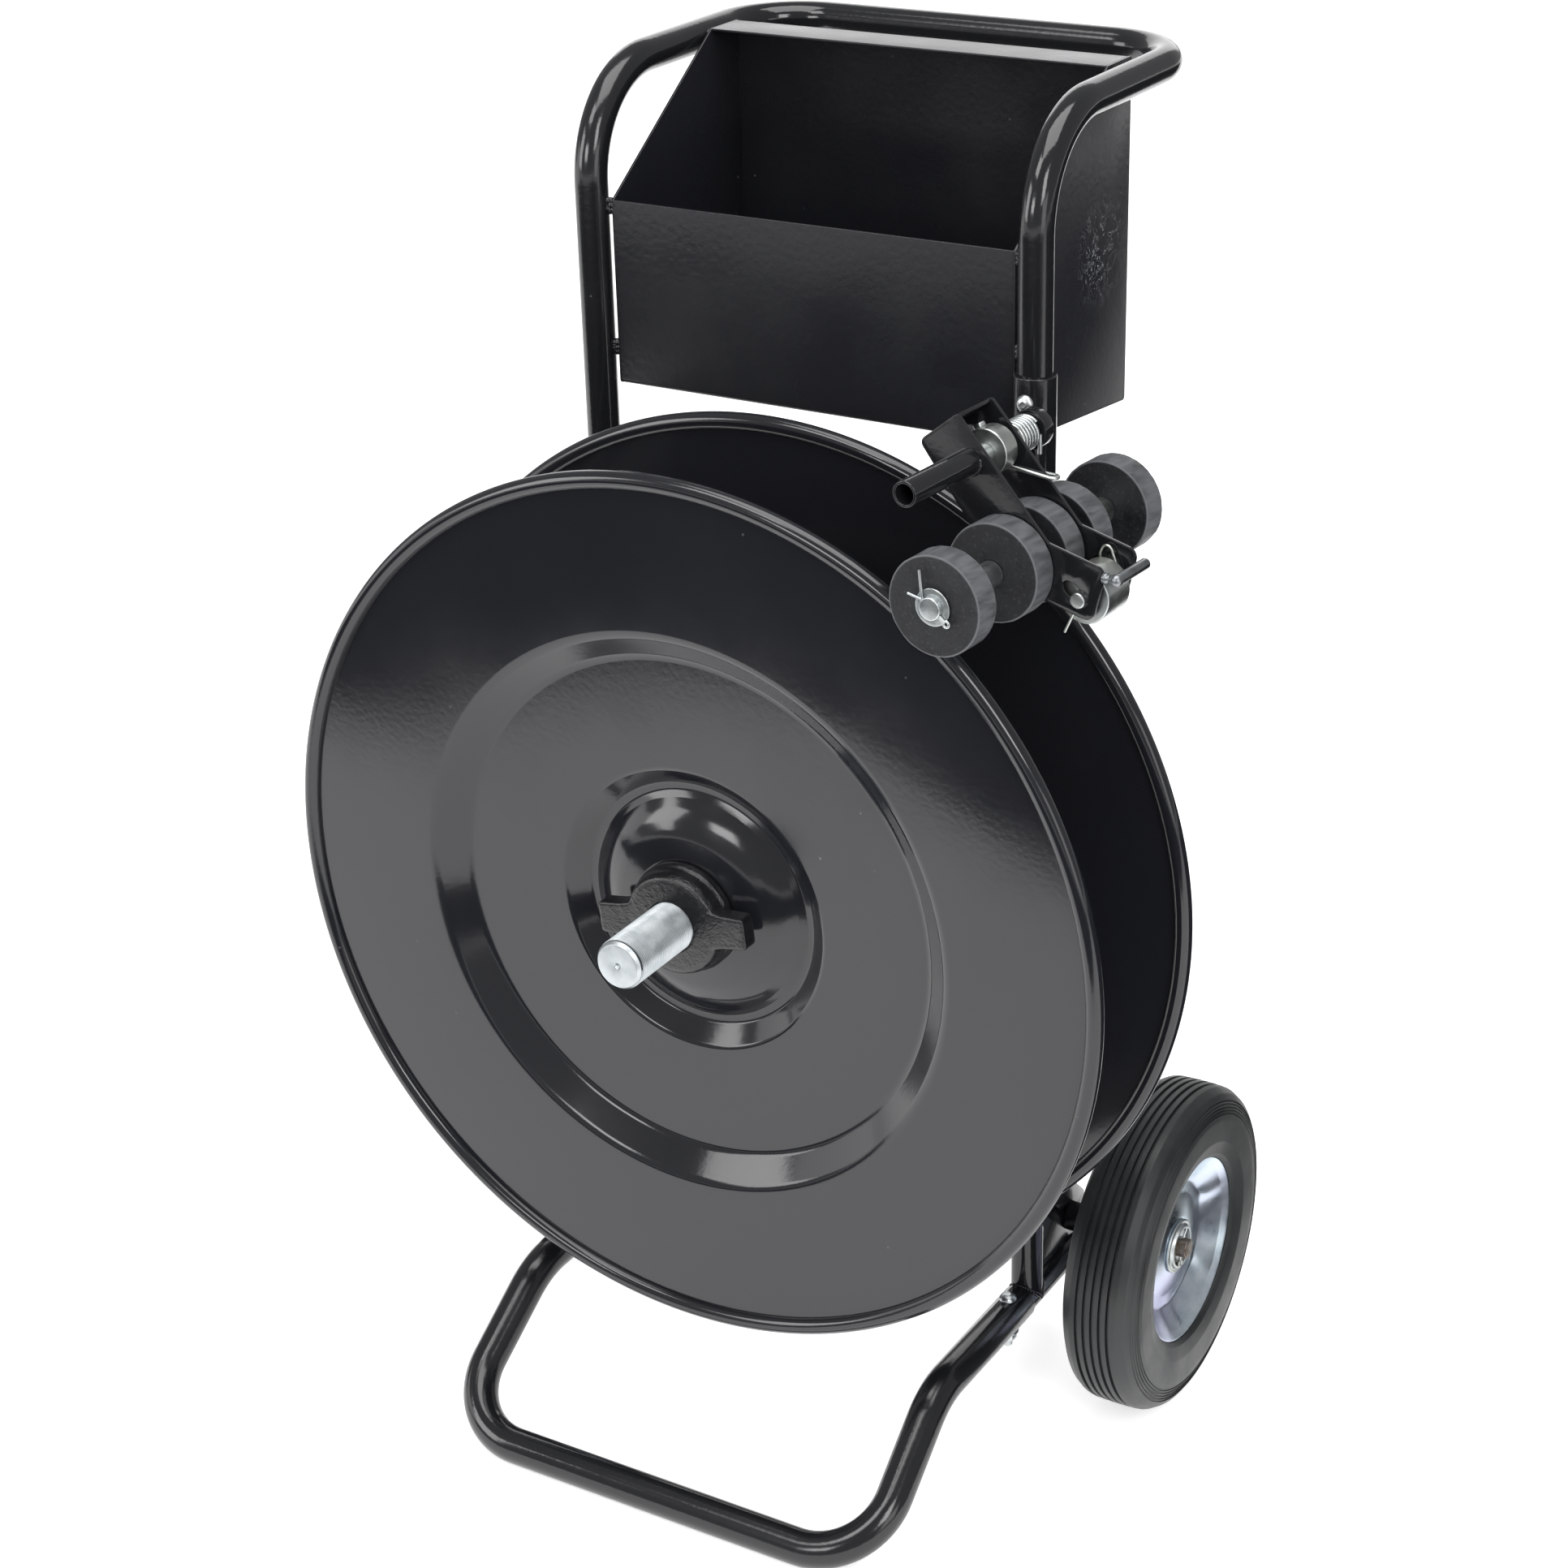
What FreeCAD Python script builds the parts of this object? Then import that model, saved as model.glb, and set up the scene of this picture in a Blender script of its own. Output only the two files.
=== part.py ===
"""Wheeled reel cart: a tubular hand-truck frame with a tool tray at the top,
a flanged reel on a threaded spindle, and a sprung arm of rubber guide rollers.

Millimetres.  +Z is up and the floor is z = 0.  The reel axis runs along Y, the
front of the cart faces -Y, and the origin is under the middle of the overall
depth, on the plane of symmetry of the frame.
"""
import FreeCAD, Part
import math
import os

from FreeCAD import Vector

# ---------------------------------------------------------------- frame
TUBE_R = 12.7
TUBE_WALL = 1.65
FRAME_HALF = 184.5
FRONT_REACH = 288.7
REAR_REACH = 269.1
FRAME_Y = (FRONT_REACH - REAR_REACH) / 2.0
HANDLE_Z = 1041.3
HANDLE_BEND_R = 80.0
HANDLE_CORNER_R = 62.0
HANDLE_Y = FRAME_Y + REAR_REACH - TUBE_R
LOWER_TUBE_Z = 98.0
LOWER_TUBE_FRONT = FRAME_Y - 78.0
LOWER_TUBE_REAR = FRAME_Y + 118.0
LOWER_CORNER_R = 50.0

# ---------------------------------------------------------------- foot stand
FOOT_R = 14.3
FOOT_Y = FRAME_Y - FRONT_REACH + FOOT_R
FOOT_CORNER_R = 58.0
FOOT_HALF = 189.0
FOOT_RISE_DEG = 35.3
FOOT_BEND_R = 70.0
FOOT_SLEEVE_END = FRAME_Y - 14.0
FOOT_BOLT_Y = FRAME_Y - 34.0
FOOT_BOLT_R = 4.0

# ---------------------------------------------------------------- reel
REEL_Z = 481.8
REEL_FRONT = FRAME_Y - 204.4
REEL_REAR = FRAME_Y - 58.1
DISC_R = 342.0
BEAD_R = 6.5
SHEET = 1.6
RING_OUTER_R = 220.0
RING_INNER_R = 199.0
RING_DEPTH = 18.4
GROOVE_OUTER_R = 111.5
GROOVE_R = 94.0
GROOVE_DEPTH = 31.6
BOSS_R = 46.0
BOSS_DEPTH = 12.0
SPINDLE_R = 19.05
SPINDLE_FRONT = REEL_FRONT - 80.3
CORE_R = 30.15
CORE_WALL = 3.0
HUB_FLANGE_R = 44.0
HUB_R = 28.0

# ---------------------------------------------------------------- spindle housing
HOUSING_R = 38.1
HOUSING_BORE_R = 32.1
HOUSING_FRONT = FRAME_Y - 42.0
HOUSING_REAR = FRAME_Y + 42.0
BEARING_W = 18.0
CROSSBAR_RISE = 62.0
PLATE_T = 8.0

# ---------------------------------------------------------------- clamp nut
NUT_R = 41.0
NUT_SPAN = 127.0
NUT_LUG_H = 25.0
NUT_LUG_T = 12.0
NUT_TILT_DEG = 6.5
NUT_TRAVEL = 50.0

# ---------------------------------------------------------------- wheels
AXLE_Y = FRAME_Y + 69.6
WHEEL_R = 133.35
AXLE_R = 7.94
AXLE_HALF = 294.0
WHEEL_INNER = 239.3
WHEEL_OUTER = 302.8
RIM_R = 76.2
WHEEL_HUB_R = 17.0

# ---------------------------------------------------------------- tool tray
TRAY_HALF = 168.0
TRAY_SHEET = 1.9
TRAY_FRONT = FRAME_Y + 1.0
TRAY_BACK = FRAME_Y + 186.0
TRAY_FRONT_LOW = 809.0
TRAY_BACK_LOW = 790.0
TRAY_FRONT_TOP = 950.0
TRAY_TOP = 1050.0
TRAY_LIP = 40.0

# ---------------------------------------------------------------- guide arm
SLEEVE_R = 15.65
SLEEVE_LOW = 792.0
SLEEVE_TOP = 864.6
SLEEVE_BOLT_Z = 847.0
GUIDE_TURN_DEG = 4.69
PIVOT_X = 209.8
PIVOT_Z = 852.2
PIVOT_R = 6.95
GUIDE_FRONT = REEL_FRONT
FLANGE_T = 3.0
FRONT_FLANGE = 48.7
REAR_FLANGE = 90.5
ROLLER_R = 35.0
ROLLER_W = 21.0
SHAFT_R = 8.0
SPACER_R = 9.0
ROLLER_STARTS = (-44.2, 26.4, 67.0, 104.6, 172.6)
SHAFT_N = 31.9
SHAFT_Z = -65.6
END_PIN_N = 85.2
END_PIN_Z = -80.8
END_ROLLER_R = 19.0
SPRING_R = 11.0
SPRING_WIRE_R = 1.5
BOSS_START = 124.0
BOSS_LENGTH = 10.0

# ---------------------------------------------------------------- fits
GAP = 0.3
RUN = 0.05

X = Vector(1, 0, 0)
Y = Vector(0, 1, 0)
Z = Vector(0, 0, 1)
ORIGIN = Vector(0, 0, 0)


# ================================================================ helpers
def rod(start, axis, length, radius):
    return Part.makeCylinder(radius, length, start, axis)


def pipe(start, axis, length, outer, inner):
    return rod(start, axis, length, outer).cut(rod(start, axis, length, inner))


def box(x0, x1, y0, y1, z0, z1):
    return Part.makeBox(x1 - x0, y1 - y0, z1 - z0, Vector(x0, y0, z0))


def rounded_wire(points, radii):
    """A path of straight runs joined by tangent arcs, one radius per inner point."""
    edges = []
    last = points[0]
    for before, corner, after, radius in zip(points, points[1:], points[2:], radii):
        back = (before - corner).normalize()
        ahead = (after - corner).normalize()
        half = back.getAngle(ahead) / 2.0
        reach = radius / math.tan(half)
        start = corner + back * reach
        end = corner + ahead * reach
        centre = corner + (back + ahead).normalize() * (radius / math.sin(half))
        middle = centre + (corner - centre).normalize() * radius
        edges.append(Part.LineSegment(last, start).toShape())
        edges.append(Part.Arc(start, middle, end).toShape())
        last = end
    edges.append(Part.LineSegment(last, points[-1]).toShape())
    return Part.Wire(edges)


def swept(path, radius):
    direction = path.Edges[0].tangentAt(path.Edges[0].FirstParameter)
    ring = Part.Wire(Part.makeCircle(radius, path.Vertexes[0].Point, direction))
    shell = Part.BRepOffsetAPI.MakePipeShell(path)
    shell.add(ring)
    shell.setTransitionMode(2)
    shell.build()
    shell.makeSolid()
    return shell.shape()


def bent_tube(points, radii, radius, wall):
    path = rounded_wire(points, radii)
    return swept(path, radius).cut(swept(path, radius - wall))


def bent_rod(points, radii, radius):
    return swept(rounded_wire(points, radii), radius)


def plate(points, thickness_vector):
    """A flat plate from an outline, pushed along the thickness vector."""
    closed = list(points) + [points[0]]
    return Part.Face(Part.makePolygon(closed)).extrude(thickness_vector)


def spun(profile, centre, axis):
    """A closed outline turned a full turn about an axis."""
    closed = list(profile) + [profile[0]]
    return Part.Face(Part.makePolygon(closed)).revolve(centre, axis, 360)


def mirrored(shape):
    return shape.mirror(ORIGIN, X)


def both_sides(shape):
    return Part.makeCompound([shape, mirrored(shape)])


def group(shapes):
    return Part.makeCompound(list(shapes))


def bolt(head_point, axis, head_r, shank_r, length):
    """A round-head bolt; the head stands on head_point and the shank runs along axis."""
    head = Part.makeSphere(head_r, head_point)
    below = rod(head_point, axis, 2.5 * head_r, 2 * head_r)
    head = head.cut(below)
    flat = rod(head_point - axis * head_r * 0.7, axis * -1, head_r, head_r)
    return head.cut(flat).fuse(rod(head_point, axis, length, shank_r))


def hexagon(start, axis, across_flats, thickness, hole_r):
    corner_r = across_flats / math.sqrt(3.0)
    points = []
    for corner in range(6):
        angle = math.radians(60 * corner)
        points.append(Vector(corner_r * math.cos(angle), corner_r * math.sin(angle), 0))
    nut = plate(points, Z * thickness).cut(rod(ORIGIN, Z, thickness, hole_r))
    nut.Placement = FreeCAD.Placement(start, FreeCAD.Rotation(Z, axis))
    return nut


# ================================================================ frame parts
def main_frame():
    """One tube: up the left, back over the tray, across and down the right."""
    left = -FRAME_HALF
    points = [
        Vector(left, FRAME_Y, LOWER_TUBE_Z + TUBE_R - 1.0),
        Vector(left, FRAME_Y, HANDLE_Z),
        Vector(left, HANDLE_Y, HANDLE_Z),
        Vector(-left, HANDLE_Y, HANDLE_Z),
        Vector(-left, FRAME_Y, HANDLE_Z),
        Vector(-left, FRAME_Y, LOWER_TUBE_Z + TUBE_R - 1.0),
    ]
    radii = [HANDLE_BEND_R, HANDLE_CORNER_R, HANDLE_CORNER_R, HANDLE_BEND_R]
    tube = bent_tube(points, radii, TUBE_R, TUBE_WALL)
    for side in (-1, 1):
        seat = rod(Vector(side * FRAME_HALF, LOWER_TUBE_FRONT, LOWER_TUBE_Z), Y, 200.0, TUBE_R)
        tube = tube.cut(seat)
    bolt_hole = rod(Vector(FRAME_HALF, FRAME_Y - 30.0, SLEEVE_BOLT_Z), Y, 60.0, FOOT_BOLT_R)
    return tube.cut(bolt_hole)


def base_points():
    return [
        Vector(-FRAME_HALF, LOWER_TUBE_FRONT, LOWER_TUBE_Z),
        Vector(-FRAME_HALF, LOWER_TUBE_REAR, LOWER_TUBE_Z),
        Vector(FRAME_HALF, LOWER_TUBE_REAR, LOWER_TUBE_Z),
        Vector(FRAME_HALF, LOWER_TUBE_FRONT, LOWER_TUBE_Z),
    ]


def base_frame():
    """The low U of tube that carries the axle; its front ends plug into the foot stand."""
    tube = bent_tube(base_points(), [LOWER_CORNER_R, LOWER_CORNER_R], TUBE_R, TUBE_WALL)
    for side in (-1, 1):
        top = Vector(side * FRAME_HALF, FOOT_BOLT_Y, LOWER_TUBE_Z - 30.0)
        tube = tube.cut(rod(top, Z, 60.0, FOOT_BOLT_R))
    return tube


def foot_stand():
    """Crossbar on the floor, legs rising to sleeves over the low frame."""
    run = (LOWER_TUBE_Z - FOOT_R) / math.tan(math.radians(FOOT_RISE_DEG))
    points = [
        Vector(-FRAME_HALF, FOOT_SLEEVE_END, LOWER_TUBE_Z),
        Vector(-FRAME_HALF, FOOT_Y + run, LOWER_TUBE_Z),
        Vector(-FOOT_HALF, FOOT_Y, FOOT_R),
        Vector(FOOT_HALF, FOOT_Y, FOOT_R),
        Vector(FRAME_HALF, FOOT_Y + run, LOWER_TUBE_Z),
        Vector(FRAME_HALF, FOOT_SLEEVE_END, LOWER_TUBE_Z),
    ]
    radii = [FOOT_BEND_R, FOOT_CORNER_R, FOOT_CORNER_R, FOOT_BEND_R]
    tube = bent_tube(points, radii, FOOT_R, FOOT_R - TUBE_R)
    for side in (-1, 1):
        top = Vector(side * FRAME_HALF, FOOT_BOLT_Y, LOWER_TUBE_Z - 30.0)
        tube = tube.cut(rod(top, Z, 60.0, FOOT_BOLT_R))
    return tube


def foot_bolts():
    bolts = []
    for side in (-1, 1):
        head = Vector(side * FRAME_HALF, FOOT_BOLT_Y, LOWER_TUBE_Z + FOOT_R)
        bolts.append(bolt(head, Z * -1, 7.0, FOOT_BOLT_R, 2 * FOOT_R + 14.0))
    return group(bolts)


def foot_nuts():
    nuts = []
    for side in (-1, 1):
        under = Vector(side * FRAME_HALF, FOOT_BOLT_Y, LOWER_TUBE_Z - FOOT_R - 1.6)
        nuts.append(hexagon(under, Z * -1, 13.0, 6.5, FOOT_BOLT_R))
    return group(nuts)


def foot_washers():
    washers = []
    for side in (-1, 1):
        under = Vector(side * FRAME_HALF, FOOT_BOLT_Y, LOWER_TUBE_Z - FOOT_R)
        washers.append(pipe(under, Z * -1, 1.6, 9.0, FOOT_BOLT_R))
    return group(washers)


def crossbars():
    """Two tubes between the uprights, coped to them, that carry the spindle housing."""
    bars = []
    for level in (-CROSSBAR_RISE, CROSSBAR_RISE):
        start = Vector(-FRAME_HALF, FRAME_Y, REEL_Z + level)
        bar = pipe(start, X, 2 * FRAME_HALF, TUBE_R, TUBE_R - TUBE_WALL)
        for side in (-1, 1):
            upright = rod(Vector(side * FRAME_HALF, FRAME_Y, 0), Z, HANDLE_Z, TUBE_R)
            bar = bar.cut(upright)
        bars.append(max(bar.Solids, key=lambda piece: piece.Volume))
    return group(bars)


def housing_plates():
    """Front and back plates across the crossbars, bored for the housing."""
    plates = []
    tall = CROSSBAR_RISE + 18.0
    wide = 58.0
    for face in (FRAME_Y - TUBE_R - PLATE_T, FRAME_Y + TUBE_R):
        sheet = box(-wide, wide, face, face + PLATE_T, REEL_Z - tall, REEL_Z + tall)
        upright_edges = [edge for edge in sheet.Edges if abs(edge.tangentAt(0).y) > 0.9]
        sheet = sheet.makeFillet(16.0, upright_edges)
        plates.append(sheet.cut(rod(Vector(0, face, REEL_Z), Y, PLATE_T, HOUSING_R)))
    return group(plates)


def spindle_housing():
    length = HOUSING_REAR - HOUSING_FRONT
    return pipe(Vector(0, HOUSING_FRONT, REEL_Z), Y, length, HOUSING_R, HOUSING_BORE_R)


def spindle_bearings():
    bearings = []
    for start in (HOUSING_FRONT + 1.0, HOUSING_REAR - BEARING_W - 1.0):
        ring = pipe(Vector(0, start, REEL_Z), Y, BEARING_W, HOUSING_BORE_R, SPINDLE_R + RUN)
        bearings.append(ring)
    return group(bearings)


def axle_brackets():
    """Plates from the uprights to the low frame, bored for the axle."""
    inner = FRAME_HALF - 4.0
    top = WHEEL_R + 75.0
    outline = [
        Vector(inner, FRAME_Y + TUBE_R, LOWER_TUBE_Z + 6.0),
        Vector(inner, FRAME_Y + TUBE_R, top),
        Vector(inner, FRAME_Y + TUBE_R + 16.0, top),
        Vector(inner, AXLE_Y + 26.0, WHEEL_R + 10.0),
        Vector(inner, AXLE_Y + 26.0, LOWER_TUBE_Z + 6.0),
    ]
    bracket = plate(outline, X * 8.0)
    bracket = bracket.cut(rod(Vector(inner, AXLE_Y, WHEEL_R), X, 8.0, AXLE_R))
    low_tube = bent_rod(base_points(), [LOWER_CORNER_R, LOWER_CORNER_R], TUBE_R)
    return both_sides(bracket.cut(low_tube))


def axle():
    bar = rod(Vector(-AXLE_HALF, AXLE_Y, WHEEL_R), X, 2 * AXLE_HALF, AXLE_R)
    for side in (-1, 1):
        hole = Vector(side * (AXLE_HALF - 6.0), AXLE_Y, WHEEL_R - 20.0)
        bar = bar.cut(rod(hole, Z, 40.0, 2.1))
    return bar


def axle_spacers():
    start = Vector(FRAME_HALF + 4.0, AXLE_Y, WHEEL_R)
    length = WHEEL_INNER + 4.0 - GAP - FRAME_HALF - 4.0
    return both_sides(pipe(start, X, length, 12.0, AXLE_R))


def axle_washers():
    start = Vector(AXLE_HALF - 11.0, AXLE_Y, WHEEL_R)
    return both_sides(pipe(start, X, 2.4, 15.0, AXLE_R))


def cotter_pin(centre, along, leg_away, length, wire_r):
    """A split pin: an eye on one side and two legs spread on the other."""
    eye_r = wire_r * 2.2
    eye = Part.makeTorus(eye_r, wire_r, centre - along * (length * 0.5 + eye_r), along.cross(leg_away))
    start = centre - along * (length * 0.5)
    middle = centre + along * (length * 0.35)
    legs = []
    for side in (-1, 1):
        shift = leg_away * (side * wire_r * 0.55)
        tip = centre + along * (length * 0.8) + leg_away * (side * length * 0.35)
        path = [start + shift, middle + shift, tip]
        legs.append(bent_rod(path, [wire_r * 2.0], wire_r))
    return legs[0].fuse(legs[1]).fuse(eye)


def axle_cotters():
    centre = Vector(AXLE_HALF - 6.0, AXLE_Y, WHEEL_R)
    return both_sides(cotter_pin(centre, Z, Y, 26.0, 1.0))


# ================================================================ tray
def tray_wrap():
    """One bent sheet: front panel, sloping floor, back panel and top lip."""
    outer = [
        Vector(0, TRAY_FRONT, TRAY_FRONT_TOP),
        Vector(0, TRAY_FRONT, TRAY_FRONT_LOW),
        Vector(0, TRAY_BACK, TRAY_BACK_LOW),
        Vector(0, TRAY_BACK, TRAY_TOP),
        Vector(0, TRAY_BACK - TRAY_LIP, TRAY_TOP),
    ]
    inner = [
        Vector(0, TRAY_BACK - TRAY_LIP, TRAY_TOP - TRAY_SHEET),
        Vector(0, TRAY_BACK - TRAY_SHEET, TRAY_TOP - TRAY_SHEET),
        Vector(0, TRAY_BACK - TRAY_SHEET, TRAY_BACK_LOW + TRAY_SHEET),
        Vector(0, TRAY_FRONT + TRAY_SHEET, TRAY_FRONT_LOW + TRAY_SHEET),
        Vector(0, TRAY_FRONT + TRAY_SHEET, TRAY_FRONT_TOP),
    ]
    half = TRAY_HALF - TRAY_SHEET
    sheet = plate(outer + inner, X * (2 * half))
    sheet.translate(X * -half)
    return sheet


def tray_side():
    outline = [
        Vector(TRAY_HALF, TRAY_FRONT, TRAY_FRONT_LOW),
        Vector(TRAY_HALF, TRAY_BACK, TRAY_BACK_LOW),
        Vector(TRAY_HALF, TRAY_BACK, TRAY_TOP),
        Vector(TRAY_HALF, TRAY_BACK - TRAY_LIP, TRAY_TOP),
        Vector(TRAY_HALF, TRAY_FRONT, TRAY_FRONT_TOP),
    ]
    return plate(outline, X * -TRAY_SHEET)


def tray_welds():
    """Short weld beads that join the tray sides to the uprights."""
    beads = []
    low_left = TRAY_FRONT_LOW + 22.0
    low_right = SLEEVE_TOP + 8.0
    high = TRAY_FRONT_TOP - 10.0
    for side, level in ((-1, low_left), (-1, high), (1, low_right), (1, high)):
        bead = box(TRAY_HALF, FRAME_HALF, TRAY_FRONT, TRAY_FRONT + 6.0, level, level + 14.0)
        bead = bead.cut(rod(Vector(FRAME_HALF, FRAME_Y, level), Z, 14.0, TUBE_R))
        beads.append(bead if side > 0 else mirrored(bead))
    return group(beads)


# ================================================================ reel
def disc_profile(front, inward, hole_r, reach):
    """Half section of a pressed flange; inward is +1 or -1 along Y."""
    face = [
        (hole_r, BOSS_DEPTH),
        (BOSS_R, BOSS_DEPTH),
        (GROOVE_R - 8.0, GROOVE_DEPTH - 3.0),
        (GROOVE_R, GROOVE_DEPTH),
        (GROOVE_R + 4.0, GROOVE_DEPTH - 1.0),
        (GROOVE_OUTER_R, RING_DEPTH),
        (RING_INNER_R, RING_DEPTH),
        (RING_OUTER_R, 0.0),
        (reach, 0.0),
    ]
    near = [Vector(r, front + inward * depth, REEL_Z) for r, depth in face]
    far = [Vector(r, front + inward * (depth + SHEET), REEL_Z) for r, depth in reversed(face)]
    return near + far


def reel_disc(front, inward, hole_r):
    """Pressed sheet flange with a rolled bead round its edge."""
    axis_point = Vector(0, front, REEL_Z)
    sheet = spun(disc_profile(front, inward, hole_r, DISC_R - BEAD_R), axis_point, Y)
    bead = Part.makeTorus(DISC_R - BEAD_R, BEAD_R, axis_point, Y)
    return sheet.fuse(bead)


def spindle():
    length = HOUSING_REAR + 16.0 - SPINDLE_FRONT
    bar = rod(Vector(0, SPINDLE_FRONT, REEL_Z), Y, length, SPINDLE_R)
    ends = [edge for edge in bar.Edges if edge.Closed]
    bar = bar.makeChamfer(1.5, ends)
    centre_drill = Part.makeCone(2.5, 0.4, 3.0, Vector(0, SPINDLE_FRONT, REEL_Z), Y)
    return bar.cut(centre_drill)


def rear_hub():
    """Flange and sleeve welded between the rear disc and the spindle."""
    back_face = REEL_REAR - BOSS_DEPTH
    flange = pipe(Vector(0, back_face, REEL_Z), Y, 6.0, HUB_FLANGE_R, SPINDLE_R)
    sleeve_length = HOUSING_FRONT - 2.0 - back_face
    sleeve = pipe(Vector(0, back_face, REEL_Z), Y, sleeve_length, HUB_R, SPINDLE_R)
    return flange.fuse(sleeve)


def core_tube():
    """Spacer tube round the spindle that sets the gap between the discs."""
    start = REEL_FRONT + BOSS_DEPTH + SHEET + GAP
    end = REEL_REAR - BOSS_DEPTH - SHEET
    return pipe(Vector(0, start, REEL_Z), Y, end - start, CORE_R, CORE_R - CORE_WALL)


def spindle_collar():
    start = HOUSING_REAR + 1.0
    ring = pipe(Vector(0, start, REEL_Z), Y, 12.0, 29.0, SPINDLE_R)
    return ring.cut(rod(Vector(0, HOUSING_REAR + 7.0, REEL_Z), Z, 40.0, 3.0))


def collar_screw():
    start = Vector(0, HOUSING_REAR + 7.0, REEL_Z + SPINDLE_R)
    return rod(start, Z, 12.0, 3.0)


def clamp_nut():
    """Cast two-lug nut, turned on the spindle thread against the front disc."""
    seat = REEL_FRONT + BOSS_DEPTH - GAP
    front = REEL_FRONT - 10.0
    outline = [
        (SPINDLE_R + RUN, seat),
        (NUT_R + 3.0, seat),
        (NUT_R + 3.0, seat - 6.0),
        (NUT_R, seat - 9.0),
        (NUT_R - 4.0, seat - 14.0),
        (SPINDLE_R + 9.0, front),
        (SPINDLE_R + RUN, front - 3.0),
    ]
    profile = [Vector(r, y, REEL_Z) for r, y in outline]
    hub = spun(profile, Vector(0, 0, REEL_Z), Y)
    lug_y = REEL_FRONT - 8.0
    half = NUT_LUG_H / 2.0
    bar = box(-NUT_SPAN / 2, NUT_SPAN / 2, lug_y, lug_y + NUT_LUG_T, REEL_Z - half, REEL_Z + half)
    upright_edges = [edge for edge in bar.Edges if abs(edge.tangentAt(0).y) > 0.9]
    bar = bar.makeFillet(3.0, upright_edges)
    bore = rod(Vector(0, front - 20.0, REEL_Z), Y, 60.0, SPINDLE_R + RUN)
    nut = hub.fuse(bar).cut(bore)
    nut.rotate(Vector(0, 0, REEL_Z), Y, -NUT_TILT_DEG)
    return nut


# ================================================================ wheels
def wheel_spun(profile):
    points = [Vector(x, AXLE_Y, WHEEL_R + r) for x, r in profile]
    return spun(points, Vector(0, AXLE_Y, WHEEL_R), X)


def tyre():
    shoulder = 16.0
    mid = (WHEEL_INNER + WHEEL_OUTER) / 2.0
    half = (WHEEL_OUTER - WHEEL_INNER) / 2.0
    return wheel_spun([
        (mid - half + 6.0, RIM_R),
        (mid - half, RIM_R + 8.0),
        (mid - half, WHEEL_R - shoulder),
        (mid - half + 5.0, WHEEL_R - 5.0),
        (mid - half + 13.0, WHEEL_R),
        (mid + half - 13.0, WHEEL_R),
        (mid + half - 5.0, WHEEL_R - 5.0),
        (mid + half, WHEEL_R - shoulder),
        (mid + half, RIM_R + 8.0),
        (mid + half - 6.0, RIM_R),
    ])


def rim_half(outer_side):
    """Pressed dish from the bead seat down to the hub; one faces out, one in."""
    mid = (WHEEL_INNER + WHEEL_OUTER) / 2.0
    side = 1.0 if outer_side else -1.0
    face = [
        (23.75, RIM_R), (20.75, RIM_R - 6.0), (10.75, 56.0),
        (7.75, 48.0), (11.75, 32.0), (12.75, WHEEL_HUB_R),
    ]
    near = [(mid + side * depth, r) for depth, r in face]
    far = [(mid + side * (depth - 1.6), r) for depth, r in reversed(face)]
    return wheel_spun(near + far)


def wheel_hub():
    mid = (WHEEL_INNER + WHEEL_OUTER) / 2.0
    barrel = pipe(Vector(WHEEL_INNER + 4.0, AXLE_Y, WHEEL_R), X, 39.4, WHEEL_HUB_R, 13.5)
    cup = pipe(Vector(WHEEL_INNER + 42.7, AXLE_Y, WHEEL_R), X, 4.0, WHEEL_HUB_R, 15.6)
    flange = pipe(Vector(mid + 12.75, AXLE_Y, WHEEL_R), X, 2.0, 24.0, 16.5)
    return barrel.fuse(cup).fuse(flange)


def wheel_bearings():
    bearings = []
    for start in (WHEEL_INNER + 4.5, WHEEL_INNER + 33.5):
        bearings.append(pipe(Vector(start, AXLE_Y, WHEEL_R), X, 9.0, 13.5, AXLE_R + RUN))
    return group(bearings)


# ================================================================ guide arm
def at_guide(shape):
    """Move a piece from guide axes (X across, Y along the pivot) to the cart."""
    turned = shape.copy()
    turned.rotate(ORIGIN, Z, -GUIDE_TURN_DEG)
    turned.translate(Vector(PIVOT_X, GUIDE_FRONT, PIVOT_Z))
    return turned


def sleeve():
    height = SLEEVE_TOP - SLEEVE_LOW
    tube = pipe(Vector(FRAME_HALF, FRAME_Y, SLEEVE_LOW), Z, height, SLEEVE_R, TUBE_R)
    return tube.cut(rod(Vector(FRAME_HALF, FRAME_Y - 30.0, SLEEVE_BOLT_Z), Y, 60.0, FOOT_BOLT_R))


def sleeve_bolt():
    head = Vector(FRAME_HALF, FRAME_Y - SLEEVE_R, SLEEVE_BOLT_Z)
    return bolt(head, Y, 6.5, FOOT_BOLT_R, 2 * SLEEVE_R + 9.0)


def sleeve_nut():
    behind = Vector(FRAME_HALF, FRAME_Y + SLEEVE_R, SLEEVE_BOLT_Z)
    return hexagon(behind, Y, 13.0, 6.5, FOOT_BOLT_R)


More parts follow.
